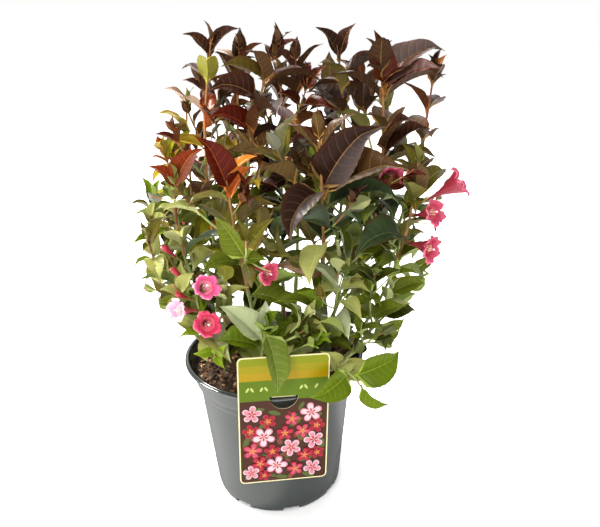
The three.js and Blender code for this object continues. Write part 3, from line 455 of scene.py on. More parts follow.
def inside_made(points):
    """Whether any point is in the pot, its compost or the label, or too near them."""
    x, y, z = points.T
    edge, radius = ROOM["edge"], np.hypot(x, y)
    over_pot = radius < RIM_RADIUS + edge
    low = over_pot & (z < COMPOST_TOP + edge)
    inner = RIM_RADIUS - 2 * LABEL["tongue_reach"]
    wall = over_pot & (z < POT_HEIGHT + edge) & (radius > inner)
    middle = RIM_RADIUS * math.sin(math.radians(LABEL["heading"]))
    beside = np.abs(x - middle) < LABEL["width"] / 2 + edge
    card = beside & (np.abs(y + RIM_RADIUS) < ROOM["card"] + edge) & (z < LABEL["top"] + edge)
    return bool((low | wall | card).any())


# ---- Growing: the source's rule, then a finer one ----

RADIUS = dict(leader=2.2, side=1.7, spray=1.0)
ANY_LENGTH = 999
# Numbers that the rules' generators start from, one for each kind of choice.
SEED = dict(
    bed=5, chips=6, fibres=7, litter=9, twig=17, flower=29, tint=31, leaf=53, shine=67, spray=77, stem=91,
)


class Mass:
    """A stem's leader, with the twigs, leaves and flowers on it."""

    def __init__(self, name, order):
        foot, tip, bow, bare, self.turn, self.leaf, self.sides, self.sprays = STEMS[name]
        self.name, self.order = name, order
        self.curve = Curve((*foot, COMPOST_TOP + AIR), tip, bow)
        self.start = bare + AIR / self.curve.length
        self.slot = SLOT_OF[f"foliage_{name}"]
        leader = dict(
            curve=self.curve, start=self.start, leaf=self.leaf, turn=self.turn, radius=RADIUS["leader"]
        )
        self.twigs, self.leaves, self.flowers = [leader], [], []


def limb_samples(curve, start):
    count = ROOM["limb_samples"]
    return curve.points(start + (1 - start) * np.arange(count + 1) / count)


def branch(parent, below, turn, length, angle):
    """The line of a twig that leaves its parent at an angle, this far below the parent's tip."""
    t, lean = parent.below_tip(below), math.radians(angle)
    root, along = parent.points(t), parent.heading(t)
    out = square_to(along, compass(turn))
    tip = root + along * length * math.cos(lean) + out * length * math.sin(lean)
    return Curve(root, tip, out * length * SIDE["lift"])


def side_twig(mass, attempt, n):
    draw = dice(mass.order, n, attempt)
    reach = mass.curve.length * (1 - mass.start)
    first = min(SIDE["first"], 0.3 * reach)
    every = (reach - first - min(SIDE["last"], 0.2 * reach)) / mass.sides
    curve = branch(
        mass.curve,
        first + every * (n + draw(0.2, 0.8)),
        mass.turn + 90 + n * SIDE["spiral"] + attempt * RETRY["turn"] + draw(-25, 25),
        SIDE["length"] * draw(0.8, 1.2) * (1 - RETRY["twig_shrink"] * attempt),
        SIDE["angle"] + draw(-8, 10),
    )
    leaf, turn = mass.leaf * SIDE["leaf"], mass.turn + 70 * n
    return dict(curve=curve, start=0.0, leaf=leaf, turn=turn, radius=RADIUS["side"])


def spray_twig(mass, attempt, n, parent):
    """A short twig in a leaf's axil, finer than the solids have."""
    draw = dice(mass.order, SEED["spray"], n, attempt)
    reach = parent["curve"].length * (1 - parent["start"])
    curve = branch(
        parent["curve"],
        reach * draw(0.16, 0.9),
        draw(0, 360),
        SPRAY["length"] * draw(0.7, 1.4),
        SPRAY["angle"] + draw(-12, 14),
    )
    leaf, turn = mass.leaf * SPRAY["leaf"] * draw(0.85, 1.15), draw(0, 360)
    return dict(curve=curve, start=0.0, leaf=leaf, turn=turn, radius=RADIUS["spray"])


def fit_twig(mass, room, bare, gap, make, *which):
    """The first of a few tries at a twig that stays in the crown and clear of the rest, if any."""
    for attempt in range(RETRY["tries"]):
        twig = make(mass, attempt, *which)
        points = limb_samples(twig["curve"], bare)
        clear = not inside_made(points) and inside_crown(points)
        if clear and room.limb_fits(mass.order, points, gap):
            room.occupy(points, mass.order, Room.LIMB)
            return [twig]
    return []


def grow_leaf(mass, leaf, room, gaps):
    points, along = blade_samples(leaf)
    if gaps is not CLOSE and (inside_made(points) or not inside_crown(points)):
        return False
    if not room.leaf_fits(mass.order, points, along, gaps):
        return False
    room.occupy(points, mass.order, Room.BLADE)
    mass.leaves.append(leaf)
    return True


def aimed_leaf(curve, below, tip, droop):
    """A leaf that ends at a given tip."""
    t = curve.below_tip(below)
    root, along = curve.points(t), curve.heading(t)
    chord = np.array(tip, float) - root
    span, bend = math.sqrt(chord @ chord), math.radians(droop) / 2
    lean = math.degrees(math.acos(along @ chord / span))
    return make_leaf(
        root, along, chord, rise=lean - droop / 2, droop=droop, length=span * bend / math.sin(bend),
        width=LEAF["width"], fold=LEAF["fold"], below=below,
    )


def twig_leaf(mass, twig, number, pair, side, attempt):
    """One leaf of a pair on a twig, with the habit of its distance from the twig's tip."""
    draw = dice(mass.order, number, pair, side, attempt)
    below = pair_below(pair)
    size, rise, droop = habit_at(below)
    t = twig["curve"].below_tip(below)
    wander = LEAF["wander"] + RETRY["wander"] * attempt
    heading = compass(twig["turn"] + pair * 90 + side * 180 + draw(-wander, wander))
    shape = dict(
        rise=rise + draw(-9, 9) + draw(-1, 1) * RETRY["tilt"] * attempt,
        droop=droop * draw(0.5, 1.6),
        length=twig["leaf"] * size * draw(0.86, 1.08) * (1 - RETRY["leaf_shrink"] * attempt),
        width=LEAF["width"] * draw(0.9, 1.12),
        fold=LEAF["fold"] * draw(0.6, 1.4),
        below=below,
        spray=number,
    )
    return make_leaf(twig["curve"].points(t), twig["curve"].heading(t), heading, **shape)


def grow_twig_leaves(mass, twig, number, room, gaps, least, most=ANY_LENGTH):
    """Opposite leaves in pairs down a twig, of lengths from least up to most."""
    reach = twig["curve"].length * (1 - twig["start"]) - LEAF["petiole"]
    pair = 0
    while pair_below(pair) < reach:
        for side in (0, 1):
            for attempt in range(RETRY["tries"]):
                leaf = twig_leaf(mass, twig, number, pair, side, attempt)
                if leaf["length"] < least:
                    break
                if leaf["length"] < most and grow_leaf(mass, leaf, room, gaps):
                    break
        pair += 1


def grow_limb(mass, room):
    room.occupy(limb_samples(mass.curve, 0), mass.order, Room.LIMB)


def grow_leading_leaves(mass, room):
    for below, tip, droop, tint, roll in LEADING_LEAVES.get(mass.name, ()):
        leaf = aimed_leaf(mass.curve, below, tip, droop)
        grow_leaf(mass, dict(leaf, tint=tint, spray=0, roll=roll), room, CLOSE)


def grow_side_twigs(mass, room):
    for n in range(mass.sides):
        mass.twigs += fit_twig(mass, room, SIDE["bare"], WIDE.other_limb, side_twig, n)


def grow_large_leaves(mass, room):
    for number, twig in enumerate(mass.twigs):
        grow_twig_leaves(mass, twig, number, room, WIDE, LEAF["smallest"])


def grow_fillers(mass, room):
    """Small leaves between the solids' own, on the same twigs."""
    led = any(leaf["below"] <= FILLER["led"] for leaf in mass.leaves if "tint" in leaf)
    for number, twig in enumerate(mass.twigs):
        most = FILLER["most_led"] if led and number == 0 else LEAF["smallest"]
        grow_twig_leaves(mass, twig, number, room, FINE, FILLER["least"], most)


def grow_sprays(mass, room):
    fine = []
    for n, parent in enumerate([mass.twigs[0]] * mass.sprays + mass.twigs[1:]):
        fine += fit_twig(mass, room, SPRAY["bare"], FINE.other_limb, spray_twig, n, parent)
    for number, twig in enumerate(fine, len(mass.twigs)):
        grow_twig_leaves(mass, twig, number, room, FINE, SPRAY["smallest"])
    mass.twigs += fine


def flower_axis(mass, below, mouth, size, bud):
    root = mass.curve.points(mass.curve.below_tip(below))
    chord = np.array(mouth, float) - root
    heading = unit(chord)
    right = unit(np.cross(heading, [0, 0, 1]))
    own = FLOWER["bud_length" if bud else "length"] * size
    span = math.sqrt(chord @ chord)
    return dict(
        root=root, heading=heading, right=right, up=np.cross(right, heading),
        start=span - own, own=own, size=size, bud=bud,
    )


def flower_rings(axis):
    """The solids' rings: distance from the root, and radius."""
    radius, mouth, start = FLOWER["bud_radius"], FLOWER["mouth"], max(0, axis["start"])
    if axis["bud"]:
        rows = ((0.5, 0.7 * radius), (0.8, radius), (1, 0.3 * radius))
    else:
        rows = ((0.4, FLOWER["throat"]), (0.78, 0.5 * mouth), (1, mouth), (0.8, 0.3 * mouth))
    rings = [(start + at * axis["own"], r * axis["size"]) for at, r in ((0, FLOWER["calyx"]), *rows)]
    return [(0, FLOWER["stalk"]), *rings]


def grow_flowers(mass, room):
    for row in FLOWERS.get(mass.name, ()):
        axis = flower_axis(mass, *row)
        for at, radius in flower_rings(axis):
            centre = axis["root"] + axis["heading"] * at
            room.occupy(centre, mass.order, Room.BLADE)
            if radius > ROOM["sample"]:
                for angle in turns(ROOM["mouth_points"]):
                    spoke = axis["right"] * math.cos(angle) + axis["up"] * math.sin(angle)
                    room.occupy(centre + spoke * radius, mass.order, Room.BLADE)
        mass.flowers.append(axis)


def grow_shrub():
    """The whole shrub, step by step, so that each mass grows round what the others have taken."""
    room = Room()
    masses = [Mass(name, order) for order, name in enumerate(STEMS)]
    for grow in (
        grow_limb, grow_flowers, grow_leading_leaves, grow_side_twigs, grow_large_leaves, grow_fillers,
        grow_sprays,
    ):
        for mass in masses:
            grow(mass, room)
    return masses


# ---- Materials ----

SHEEN = dict(tone=(150, 154, 158), share=0.22, leaves=0.22)  # painted sheen: the grey that a sheen half's colours go toward, how far, and on what share of the leaves
SIDE_VEIN = 0.36  # how far the side veins' colour goes from the blade's to the midrib's
MARGIN = dict(tone=(76, 34, 16), share=0.26, plain=0.25)  # how red, and how much of that on plain ones
GAMMA = 2.2

paints = {}


def linear(colour):
    c = np.array(colour, float) / 255
    return (*np.where(c <= 0.04045, c / 12.92, ((c + 0.055) / 1.055) ** 2.4).tolist(), 1.0)


def paint(name, colour, roughness, shine=0.5):
    """The plain material of this name, made the first time it is asked for. shine: how far it mirrors."""
    if name not in paints:
        material = bpy.data.materials.new(name)
        material.use_nodes = True
        shader = material.node_tree.nodes["Principled BSDF"]
        shader.inputs["Base Color"].default_value = linear(colour)
        shader.inputs["Roughness"].default_value = roughness
        shader.inputs["Specular IOR Level"].default_value = shine
        paints[name] = material
    return paints[name]


def toward(colour, other, share):
    return [c + (o - c) * share for c, o in zip(colour, other)]


def deepened(colour):
    """The colour with its light cut to DEPTH."""
    return 255 * ((np.array(colour) / 255) ** GAMMA * DEPTH) ** (1 / GAMMA)


# Places of the leaf materials in what leaf_paints returns; a half's are its blade, side veins and margin.
RIB, UNDER, NET, LEFT, RIGHT = 0, 1, 2, 3, 6
VEINED, EDGED = 1, 2


def leaf_paints(tint, shiny):
    """The materials of a leaf. shiny is -1 or 1 where the left or right half has a painted sheen: colours
    pushed toward grey, with a higher specular.
    """
    upper, rib, under = (deepened(tone) for tone in TINTS[tint])
    margin = MARGIN["share"] * (MARGIN["plain"] if tint in PLAIN_MARGINS else 1)
    half = dict(
        leaf=upper, vein=toward(upper, rib, SIDE_VEIN), margin=toward(upper, MARGIN["tone"], margin)
    )
    # Painted sheen: the half's colours pushed toward a pale grey, standing in for reflected sky; the higher
    # specular below is real.
    painted_sheen_tones = {f"sheen_{part}": toward(tone, SHEEN["tone"], SHEEN["share"]) for part, tone in half.items()}

    def finish(tones, roughness, shine):
        return [paint(f"{part}_{tint}", tone, roughness, shine) for part, tone in tones.items()]

    plain, sheen = finish(half, 0.32, 0.06), finish(painted_sheen_tones, 0.36, 0.3)
    return (
        *finish(dict(rib=rib), 0.5, 0.07),
        *finish(dict(under=under, net=toward(under, rib, SIDE_VEIN)), 0.42, 0.07),
        *(sheen if shiny < 0 else plain),
        *(sheen if shiny > 0 else plain),
    )


# ---- Meshes ----


def smoothed(mesh, sharp):
    mesh.shade_smooth()
    mesh.set_sharp_from_angle(angle=math.radians(sharp))


def linked(name, data):
    thing = bpy.data.objects.new(name, data)
    bpy.context.scene.collection.objects.link(thing)
    return thing


class Pile:
    """Points, faces and materials gathered for one piece, in millimetres."""

    def __init__(self, name):
        self.name, self.count = name, 0
        self.points, self.corners, self.sizes, self.marks, self.materials = [], [], [], [], []

    def mark(self, material):
        if material not in self.materials:
            self.materials.append(material)
        return self.materials.index(material)

    def add(self, points, faces, materials):
        """faces: (corners, sizes, which of the materials)."""
        corners, sizes, which = faces
        self.points.append(points)
        self.corners.append(corners + self.count)
        self.sizes.append(sizes)
        self.marks.append(np.array([self.mark(m) for m in materials])[which])
        self.count += len(points)

    def place(self, slot, nodes, sharp):
        """Make the piece in place of the nodes. sharp: the least angle of a hard edge."""
        mesh = bpy.data.meshes.new(self.name)
        points, corners, sizes, marks = (
            np.concatenate(rows) for rows in (self.points, self.corners, self.sizes, self.marks)
        )
        mesh.vertices.add(len(points))
        mesh.vertices.foreach_set("co", (points * MM).astype(np.float32).ravel())
        mesh.loops.add(len(corners))
        mesh.loops.foreach_set("vertex_index", corners.astype(np.int32))
        mesh.polygons.add(len(sizes))
        starts = np.concatenate([[0], np.cumsum(sizes)[:-1]])
        mesh.polygons.foreach_set("loop_start", starts.astype(np.int32))
        mesh.polygons.foreach_set("material_index", marks.astype(np.int32))
        for material in self.materials:
            mesh.materials.append(material)
        mesh.update(calc_edges=True)
        mesh.validate()
        smoothed(mesh, sharp)
        place(linked(self.name, mesh), slot, nodes)


def place(piece, slot, nodes):
    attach(piece, "root")
    if nodes:
        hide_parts(*nodes)


def as_faces(rows, which):
    """Lists of corners, some of three and some of four, as Pile.add takes them."""
    corners = np.array([c for row in rows for c in row])
    return corners, np.array([len(row) for row in rows]), np.array(which)


def grid_faces(rings, sides, which, order=(0, 1, 2, 3)):
    """The faces between closed rings of points. which: a material for each length between rings."""
    faces, marks = [], []
    for i in range(rings - 1):
        for k in range(sides):
            after = (k + 1) % sides
            row = (i * sides + k, i * sides + after, (i + 1) * sides + after, (i + 1) * sides + k)
            faces.append([row[corner] for corner in order])
            marks.append(which[i])
    return faces, marks


def tube_faces(rings, sides, which):
    """A closed tube of rings, drawn to a point at each end."""
    faces, marks = grid_faces(rings, sides, which)
    end, last = rings * sides, (rings - 1) * sides
    for k in range(sides):
        after = (k + 1) % sides
        faces += [(end, after, k), (end + 1, last + k, last + after)]
        marks += [which[0], which[-1]]
    return as_faces(faces, marks)


def tube_points(path, radii, sides, relief=1.0):
    """Rings square to the path, which doesn't twist, and the two end points."""
    path, radii = np.asarray(path, float), np.asarray(radii, float)
    ahead = np.gradient(path, axis=0)
    ahead /= np.linalg.norm(ahead, axis=1)[:, None]
    right = np.zeros_like(path)
    right[0] = unit(np.cross(ahead[0], [0.0, 1.0, 0.0] if abs(ahead[0][1]) < 0.9 else [1.0, 0.0, 0.0]))
    for i in range(1, len(path)):
        right[i] = square_to(ahead[i], right[i - 1])
    up = np.cross(ahead, right)
    angle = turns(sides)[None, :, None]
    size = (radii[:, None] * relief)[..., None]
    rings = path[:, None] + size * (right[:, None] * np.cos(angle) + up[:, None] * np.sin(angle))
    ends = np.array([path[0] - ahead[0] * radii[0] * 0.3, path[-1] + ahead[-1] * radii[-1] * 0.5])
    return np.concatenate([rings.reshape(-1, 3), ends])


# ---- Leaves ----

# Kinds of leaf, from the shortest length: side veins, and how far out the columns of faces stand.
LEAF_KINDS = (
    (46, 6, (0, 0.1, 0.42, 0.76, 1)),
    (28, 5, (0, 0.14, 0.66, 1)),
    (17, 4, (0, 0.5, 1)),
    (0, 3, (0, 0.5, 1)),
)
# Rows of points from root to tip: share of the length, side of the vein, bulge between veins, tooth.
PETIOLE_ROWS = ((0, 0, 0, 0), (0.03, 0, 0, 0), (0.06, 0, 0, 0), (0.095, 0, 0, 0))
LAST_ROW = (0.93, 0, 0.3, 0)
VEIN = dict(first=0.15, last=0.82, half=0.0058, sweep=0.24, arc=1.4)
LOOK = dict(
    wider=1.15, petiole=0.85, fold=1.3, quilt=0.018, wave=0.02, twist=14, thickness=0.35,
    pull=0.52, hook=0.12, longer=1.1, tooth=0.022,
)
TYPICAL = 60  # the length for which the widths of veins and petioles are given


class LeafKind:
    """The rows, columns and faces that leaves of one size share."""

    def __init__(self, veins, spread):
        rows = list(PETIOLE_ROWS)
        step = (VEIN["last"] - VEIN["first"]) / veins
        for k in range(veins):
            centre = VEIN["first"] + step * k
            rows += [(centre, -1, 0, 0), (centre, 1, 0, 1), (centre + step / 2, 0, 1, -1)]
        rows.append(LAST_ROW)
        self.at, self.side, self.bulge, self.tooth = np.array(rows).T[..., None]
        self.spread = np.array([-f for f in reversed(spread)] + list(spread))
        self.is_mid = (self.spread == 0)[None]
        self.rows, self.columns = len(rows), len(self.spread)
        self.faces = self.make_faces()

    def make_faces(self):
        rows, columns = self.rows, self.columns
        inner, middle = columns - 2, columns // 2 - 1
        tip = rows * columns + rows * inner

        def upper(i, j):
            return i * columns + j

        def lower(i, j):
            if j in (0, columns - 1):
                return upper(i, j)
            return rows * columns + i * inner + j - 1

        faces, which = [], []
        last = rows - 1
        for j in range(columns - 1):
            half = LEFT if j < middle else RIGHT
            for i in range(last):
                rib = j == middle or i < len(PETIOLE_ROWS) - 1
                vein = self.side[i, 0] == -1 and 0 < j < inner
                margin = j in (0, inner) and columns > 6
                faces.append((upper(i, j), upper(i, j + 1), upper(i + 1, j + 1), upper(i + 1, j)))
                which.append(RIB if rib else half + (VEINED if vein else EDGED if margin else 0))
                faces.append((lower(i, j), lower(i + 1, j), lower(i + 1, j + 1), lower(i, j + 1)))
                which.append(RIB if rib else NET if vein else UNDER)
            cap = dict.fromkeys((upper(0, j + 1), upper(0, j), lower(0, j), lower(0, j + 1)))
            faces += [(upper(last, j), upper(last, j + 1), tip), (lower(last, j + 1), lower(last, j), tip)]
            faces.append(tuple(cap))
            which += [RIB, RIB, RIB] if j == middle else [half, UNDER, RIB]
        return as_faces(faces, which)

    def points(self, leaf, draw):
        """The leaf's points: its upper face, its lower face without the margins, and its tip."""
        length = leaf["length"]
        across = np.abs(self.spread)[None]
        sweep = (1 - self.at) * np.clip(self.at / 0.12, 0, 1) * across ** VEIN["arc"]
        vein = self.side * (TYPICAL / length) ** 0.4 * (1 - 0.55 * across)
        share = np.clip(self.at + VEIN["sweep"] * sweep + VEIN["half"] * vein, 0, 0.985)
        tip_pull = 1 - LOOK["pull"] * smooth((share - 0.66) / 0.3)
        wider = LOOK["wider"] * BROAD.get(leaf["tint"], 1)
        blade = half_width(leaf, share) * smooth((share - 0.045) / 0.13) * tip_pull * wider
        petiole = LOOK["petiole"] * (length / TYPICAL) ** 0.6
        half = blade + petiole * (1 - 0.75 * share)
        rib = np.minimum(0.6, petiole * 0.5 * (1 - 0.62 * share) / half)
        reach = np.where(self.is_mid, rib, rib + (1 - rib) * across)
        teeth = 1 + LOOK["tooth"] * self.tooth * (across > 0.99)
        sign = np.sign(np.arange(self.columns) - self.columns / 2 + 0.5)[None]

        fold = math.radians(leaf["fold"]) * LOOK["fold"]
        crease = blade * math.sin(fold) * (1.32 * reach - 0.32 * reach**2)
        quilt = LOOK["quilt"] * length * self.bulge * np.sin(np.pi * reach) ** 0.8
        wave = LOOK["wave"] * length * np.sin(2 * np.pi * (2.2 * share + draw())) * reach**2
        wave = wave * smooth((share - 0.1) / 0.2) * np.where(sign > 0, 1, draw(-1, 1))
        lift = (crease + quilt + wave)[..., None]
        narrow = (sign * reach * half * teeth * math.cos(fold))[..., None]

        centre, normal = midrib(leaf, share)
        centre = centre - normal * (LOOK["hook"] * length * smooth((share - 0.62) / 0.5) ** 2)[..., None]
        twist = math.radians(draw(-1, 1) * LOOK["twist"]) * share
        twist = (twist + math.radians(leaf.get("roll", 0)) * smooth(share / 0.3))[..., None]
        side = leaf["side"] * np.cos(twist) + normal * np.sin(twist)
        normal = normal * np.cos(twist) - leaf["side"] * np.sin(twist)
        upper = centre + side * narrow + normal * lift

        thick = LOOK["thickness"] + 0.35 * self.is_mid * (1 - share)
        thick = thick + 1.5 * petiole * (1 - smooth((share - 0.03) / 0.1))
        lower = (upper - normal * thick[..., None])[:, 1:-1]
        end, end_normal = midrib(leaf, np.array([1.0]))
        end = end - end_normal * LOOK["hook"] * length * smooth(0.76) ** 2
        return np.concatenate([upper.reshape(-1, 3), lower.reshape(-1, 3), end])


def looked_up(mass, number, leaf):
    """The leaf with its tint, length and roll: where they are known, as known, and otherwise dealt."""
    if number in KNOWN.get(mass.name, {}):
        tint, share, roll = KNOWN[mass.name][number]
        return dict(leaf, tint=tint, length=leaf["length"] * share, roll=roll)
    if "tint" in leaf:
        return leaf
    tints = next(tints for low, tints in DEALS[mass.slot] if leaf["root"][2] >= low)
    draw = dice(mass.order, SEED["tint"], leaf["spray"], int(leaf["below"] // 40))
    return dict(leaf, tint=tints[int(draw(0, len(tints)))], length=leaf["length"] * LOOK["longer"])


def shine_on(mass, number):
    """1 or -1 where the right or left half of the leaf has the painted sheen, and 0 where neither has."""
    draw = dice(mass.order, SEED["shine"], number)
    dealt = (draw() < SHEEN["leaves"]) * (1 if draw() < 0.5 else -1)
    return SHINY.get(mass.name, {}).get(number, dealt)


LEAF_PIECES = dict(  # the masses whose leaves are joined
    leaves_plum_front=("centre_front", "right_high", "right_top", "right_mid", "centre_mid"),
    leaves_plum_back=(
        "centre_high", "centre_back", "centre_left", "left_centre", "left_high", "back_right",
    ),
    leaves_bronze=("back_left", "back_centre"),
    leaves_copper=("left_outer", "left_front", "left_far"),
    leaves_green=(
        "right_low", "front_right", "front_low_right", "front_low_left", "left_low",
        "back_low_left", "back_low_right",
    ),
)


def make_leaves(masses):
    kinds = [(low, LeafKind(veins, spread)) for low, veins, spread in LEAF_KINDS]
    by_name = {mass.name: mass for mass in masses}
    for name, members in LEAF_PIECES.items():
        pile = Pile(name)
        for mass in (by_name[member] for member in members):
            for n, leaf in enumerate(mass.leaves):
                leaf = looked_up(mass, n, leaf)
                if leaf["length"]:
                    kind = next(kind for low, kind in kinds if leaf["length"] >= low)
                    points = kind.points(leaf, dice(mass.order, SEED["leaf"], n))
                    pile.add(points, kind.faces, leaf_paints(leaf["tint"], shine_on(mass, n)))
        pile.place(by_name[members[0]].slot, [f"foliage_{member}" for member in members], 50)


# ---- Stems and twigs ----

STEM_TONES = dict(
    wood=(112, 84, 58), tan=(134, 124, 76), green=(140, 152, 84), young=(150, 104, 58),
    maroon=(112, 60, 48),
)
WOOD, TAN, GREEN, YOUNG, MAROON = range(len(STEM_TONES))
STEM = dict(rings=44, sides=14, foot=3.3, top=1.9, sunk=3)
TWIG = dict(step=5, rings=6, stout=5, pairs=14)  # ring spacing, least rings, how many twigs are stout


def stem_paints():
    return [paint(f"stem_{name}", tone, 0.6) for name, tone in STEM_TONES.items()]


def swelling(distance, height, width):
    """How much thicker a stem is at this distance from a node."""
    return 1 + height * np.exp(-((distance / width) ** 2))


def make_stems(masses):
    """The boughs, with bark: woody at the foot, tan and green above, with a ridge at each node."""
    pile = Pile("stems")
    share, angle = np.linspace(0, 1, STEM["rings"]), turns(STEM["sides"])[None]
    for mass in masses:
        draw = dice(mass.order, SEED["stem"])
        t = share * mass.start
        path = mass.curve.points(t)
        path[0] -= [0, 0, STEM["sunk"]]
        height = path[:, 2] - COMPOST_TOP
        raised = np.maximum(height, 0)
        below = mass.curve.length * (1 - t)
        from_node = np.abs((below - PAIRS[-1]) % PAIR_STEP - PAIR_STEP / 2) - PAIR_STEP / 2
        radii = (STEM["foot"] + (STEM["top"] - STEM["foot"]) * share) * (1 + 0.5 * np.exp(-raised / 5))
        radii = radii * swelling(from_node, 0.13, 2.2)
        furrow = 0.045 * np.sin(5 * angle + draw(0, 6) + height[:, None] * 0.03)
        grain = 0.035 * np.sin(9 * angle + 1.7 * np.sin(height[:, None] * 0.21 + draw(0, 6)))
        relief = 1 + (furrow + grain) * (0.5 + np.exp(-raised / 30)[:, None])
        brown, tan = draw(6, 34), draw(40, 90)
        which = np.where(height[:-1] < brown, WOOD, np.where(height[:-1] < tan, TAN, GREEN))
        points = tube_points(path, radii, STEM["sides"], relief)
        pile.add(points, tube_faces(STEM["rings"], STEM["sides"], which), stem_paints())
    pile.place("bark", [f"stem_{mass.name}" for mass in masses], 60)


def make_twigs(masses):
    """The leafy shoots, swollen at each pair of leaves and ripening from maroon to green."""
    pile = Pile("twigs")
    pairs = np.array([pair_below(pair) for pair in range(TWIG["pairs"])])
    for mass in masses:
        for number, twig in enumerate(mass.twigs):
            draw = dice(mass.order, SEED["twig"], number)
            curve, start = twig["curve"], twig["start"]
            reach = curve.length * (1 - start)
            rings = max(TWIG["rings"], int(reach / TWIG["step"]))
            sides, thin = (8, 0.75) if number < TWIG["stout"] else (6, 0.5)
            t = np.linspace(start, 1, rings)
            below = curve.length * (1 - t)
            foot = twig["radius"] * (0.86 if number == 0 else 0.8)
            radii = thin + (foot - thin) * (1 - (t - start) / (1 - start)) ** 0.8
            radii = radii * swelling(np.abs(below[:, None] - pairs[None]).min(1), 0.28, 1.8)
            high = curve.points(1.0)[2] > draw(290, 380)
            young, ripe = reach * draw(0.2, 0.4), reach * draw(0.5, 0.8)
            upper = MAROON if draw() < 0.4 else YOUNG
            tones = np.where(below[:-1] < young, upper, np.where(below[:-1] < ripe, YOUNG, GREEN))
            which = tones if high else np.where(below[:-1] < young * 0.6, YOUNG, GREEN)
            points = tube_points(curve.points(t), radii, sides)
            pile.add(points, tube_faces(rings, sides, which), stem_paints())
    pile.place("bark", [], 60)


# ---- Flowers ----

# Tube, outside of the lobes, inside of the lobes, throat, the lobes' edge.
FLOWER_TONES = dict(
    rose=((132, 26, 42), (150, 38, 62), (168, 50, 78), (196, 92, 104), (196, 92, 118)),
    pink=((160, 34, 58), (206, 66, 116), (214, 80, 128), (232, 150, 172), (232, 128, 162)),
    pale=((184, 70, 92), (224, 134, 162), (234, 158, 184), (246, 206, 210), (246, 200, 214)),
    red=((144, 20, 32), (178, 30, 60), (196, 46, 84), (220, 112, 130), (216, 92, 122)),
)
TUBE, OUTSIDE, INSIDE, THROAT, EDGE = range(5)
FLOWER_DEALS = dict(
    right_mid=("rose",), right_high=("rose",), centre_high=("rose",), centre_mid=("rose",),
    left_front=("pink",), left_low=("red", "red", "pink", "pale", "red"),
)
TRUMPET = (  # along the flower, radius at size 1: out to where the lobes part
    (0.0, 1.2), (0.06, 1.55), (0.16, 1.5), (0.3, 1.75), (0.42, 2.7), (0.54, 4.1), (0.66, 5.8), (0.78, 7.5),
    (0.86, 8.8),
)
LOBES = ((0.22, 0.92), (0.48, 0.965), (0.72, 0.985), (0.9, 0.975), (1.0, 0.95))  # share of the lobe, along
SPOKES = 60
RUFFLE = ((7, 0.034), (13, 0.022), (20, 0.012))  # waves round the mouth, depth as a share of the flower
SKINS = ((0, 0), (0.4, 0.35))  # how far in and how far up the outer and the inner face stand
# Of each thin part: out from the flower's axis, up along it, radius.
SEPAL = ((1.1, -1.5, 0.3), (1.7, 0.5, 0.7), (2.1, 3, 0.62), (2.7, 5.5, 0.45), (3.2, 8, 0.14))
STAMEN = ((1.4, 0.4, 0.25), (1.9, 0.6, 0.25), (2.6, 1, 0.2))
STYLE = ((0.2, 0.35, 0.35), (0.2, 0.7, 0.3), (0.2, 1.02, 0.3))
STALK = ((0, -0.02, 0.8), (0, 0.3, 0.65), (0, 0.62, 0.75), (0, 0.8, 1.2), (0, 0.94, 1.3), (0, 1.04, 1.1))
BUD = (
    (0, 0, 1.1), (0, 0.12, 1.4), (0, 0.3, 1.5), (0, 0.5, 2.1), (0, 0.68, 3.1), (0, 0.82, 3.4),
    (0, 0.93, 2.5), (0, 1.0, 0.8),
)


def flower_frame(axis):
    return np.array([axis["right"], axis["up"], axis["heading"]])


def trumpet_faces():
    rings = len(TRUMPET) + len(LOBES)
    outer = [TUBE] * (len(TRUMPET) - 1) + [OUTSIDE] * (len(LOBES) - 1) + [EDGE]
    inner = [THROAT] * (len(TRUMPET) - 2) + [INSIDE] * len(LOBES) + [EDGE]
    faces, marks = grid_faces(rings, SPOKES, outer)
    inner_faces, inner_marks = grid_faces(rings, SPOKES, inner, (3, 2, 1, 0))
    shift, last = rings * SPOKES, (rings - 1) * SPOKES
    faces += [[c + shift for c in face] for face in inner_faces]
    marks += inner_marks
    for k in range(SPOKES):
        after = (k + 1) % SPOKES
        faces.append((last + k, last + after, last + after + shift, last + k + shift))
        faces.append((after, k, k + shift, after + shift))
        marks += [INSIDE, TUBE]
    return as_faces(faces, marks)


def trumpet_points(axis, draw):
    angle = turns(SPOKES)
    lobe = np.abs(np.cos(2.5 * angle)) ** 0.42
    uneven = 1 + 0.08 * np.sin(angle + draw(0, 6)) + 0.06 * np.sin(2 * angle + draw(0, 6))
    ruffle = sum(depth * np.sin(waves * angle + draw(0, 6)) for waves, depth in RUFFLE)
    frill = 0.5 * np.sin(11 * angle + draw(0, 6))
    parting, throat = TRUMPET[-1]
    rows = [(np.full(SPOKES, at), radius * (1 + 0.05 * np.cos(5 * angle) * at)) for at, radius in TRUMPET]
    for share, at in LOBES:
        reach = (FLOWER["mouth"] + 1.6) * uneven
        radius = throat + ((reach - throat) * (0.26 + 0.74 * lobe) + frill * share) * share
        rows.append((parting + (at - parting) * (0.35 + 0.65 * lobe) + ruffle * share**1.5, radius))
    at, radius = np.array(rows).transpose(1, 0, 2)
    skins = []
    for inset, sink in SKINS:
        r = np.maximum(radius - inset, 0.3) * axis["size"]
        along = axis["start"] + at * axis["own"] + sink * (at > 0.85)
        skins.append(np.stack([r * np.cos(angle), r * np.sin(angle), along], -1).reshape(-1, 3))
    return axis["root"] + np.concatenate(skins) @ flower_frame(axis)


def add_tube(pile, axis, path, radii, sides, materials):
    """A tube on a path given in the flower's own frame."""
    points = tube_points(path, radii, sides)
    faces = tube_faces(len(radii), sides, [0] * (len(radii) - 1))
    pile.add(axis["root"] + points @ flower_frame(axis), faces, materials)


def add_part(pile, axis, rows, start, long, sides, materials, wide=1.0, heading=0):
    """A thin part from its rows. Returns its end."""
    path = [compass(heading) * out * wide + np.array([0, 0, start + at * long]) for out, at, _ in rows]
    add_tube(pile, axis, path, np.array([radius for _, _, radius in rows]) * axis["size"], sides, materials)
    return path[-1]


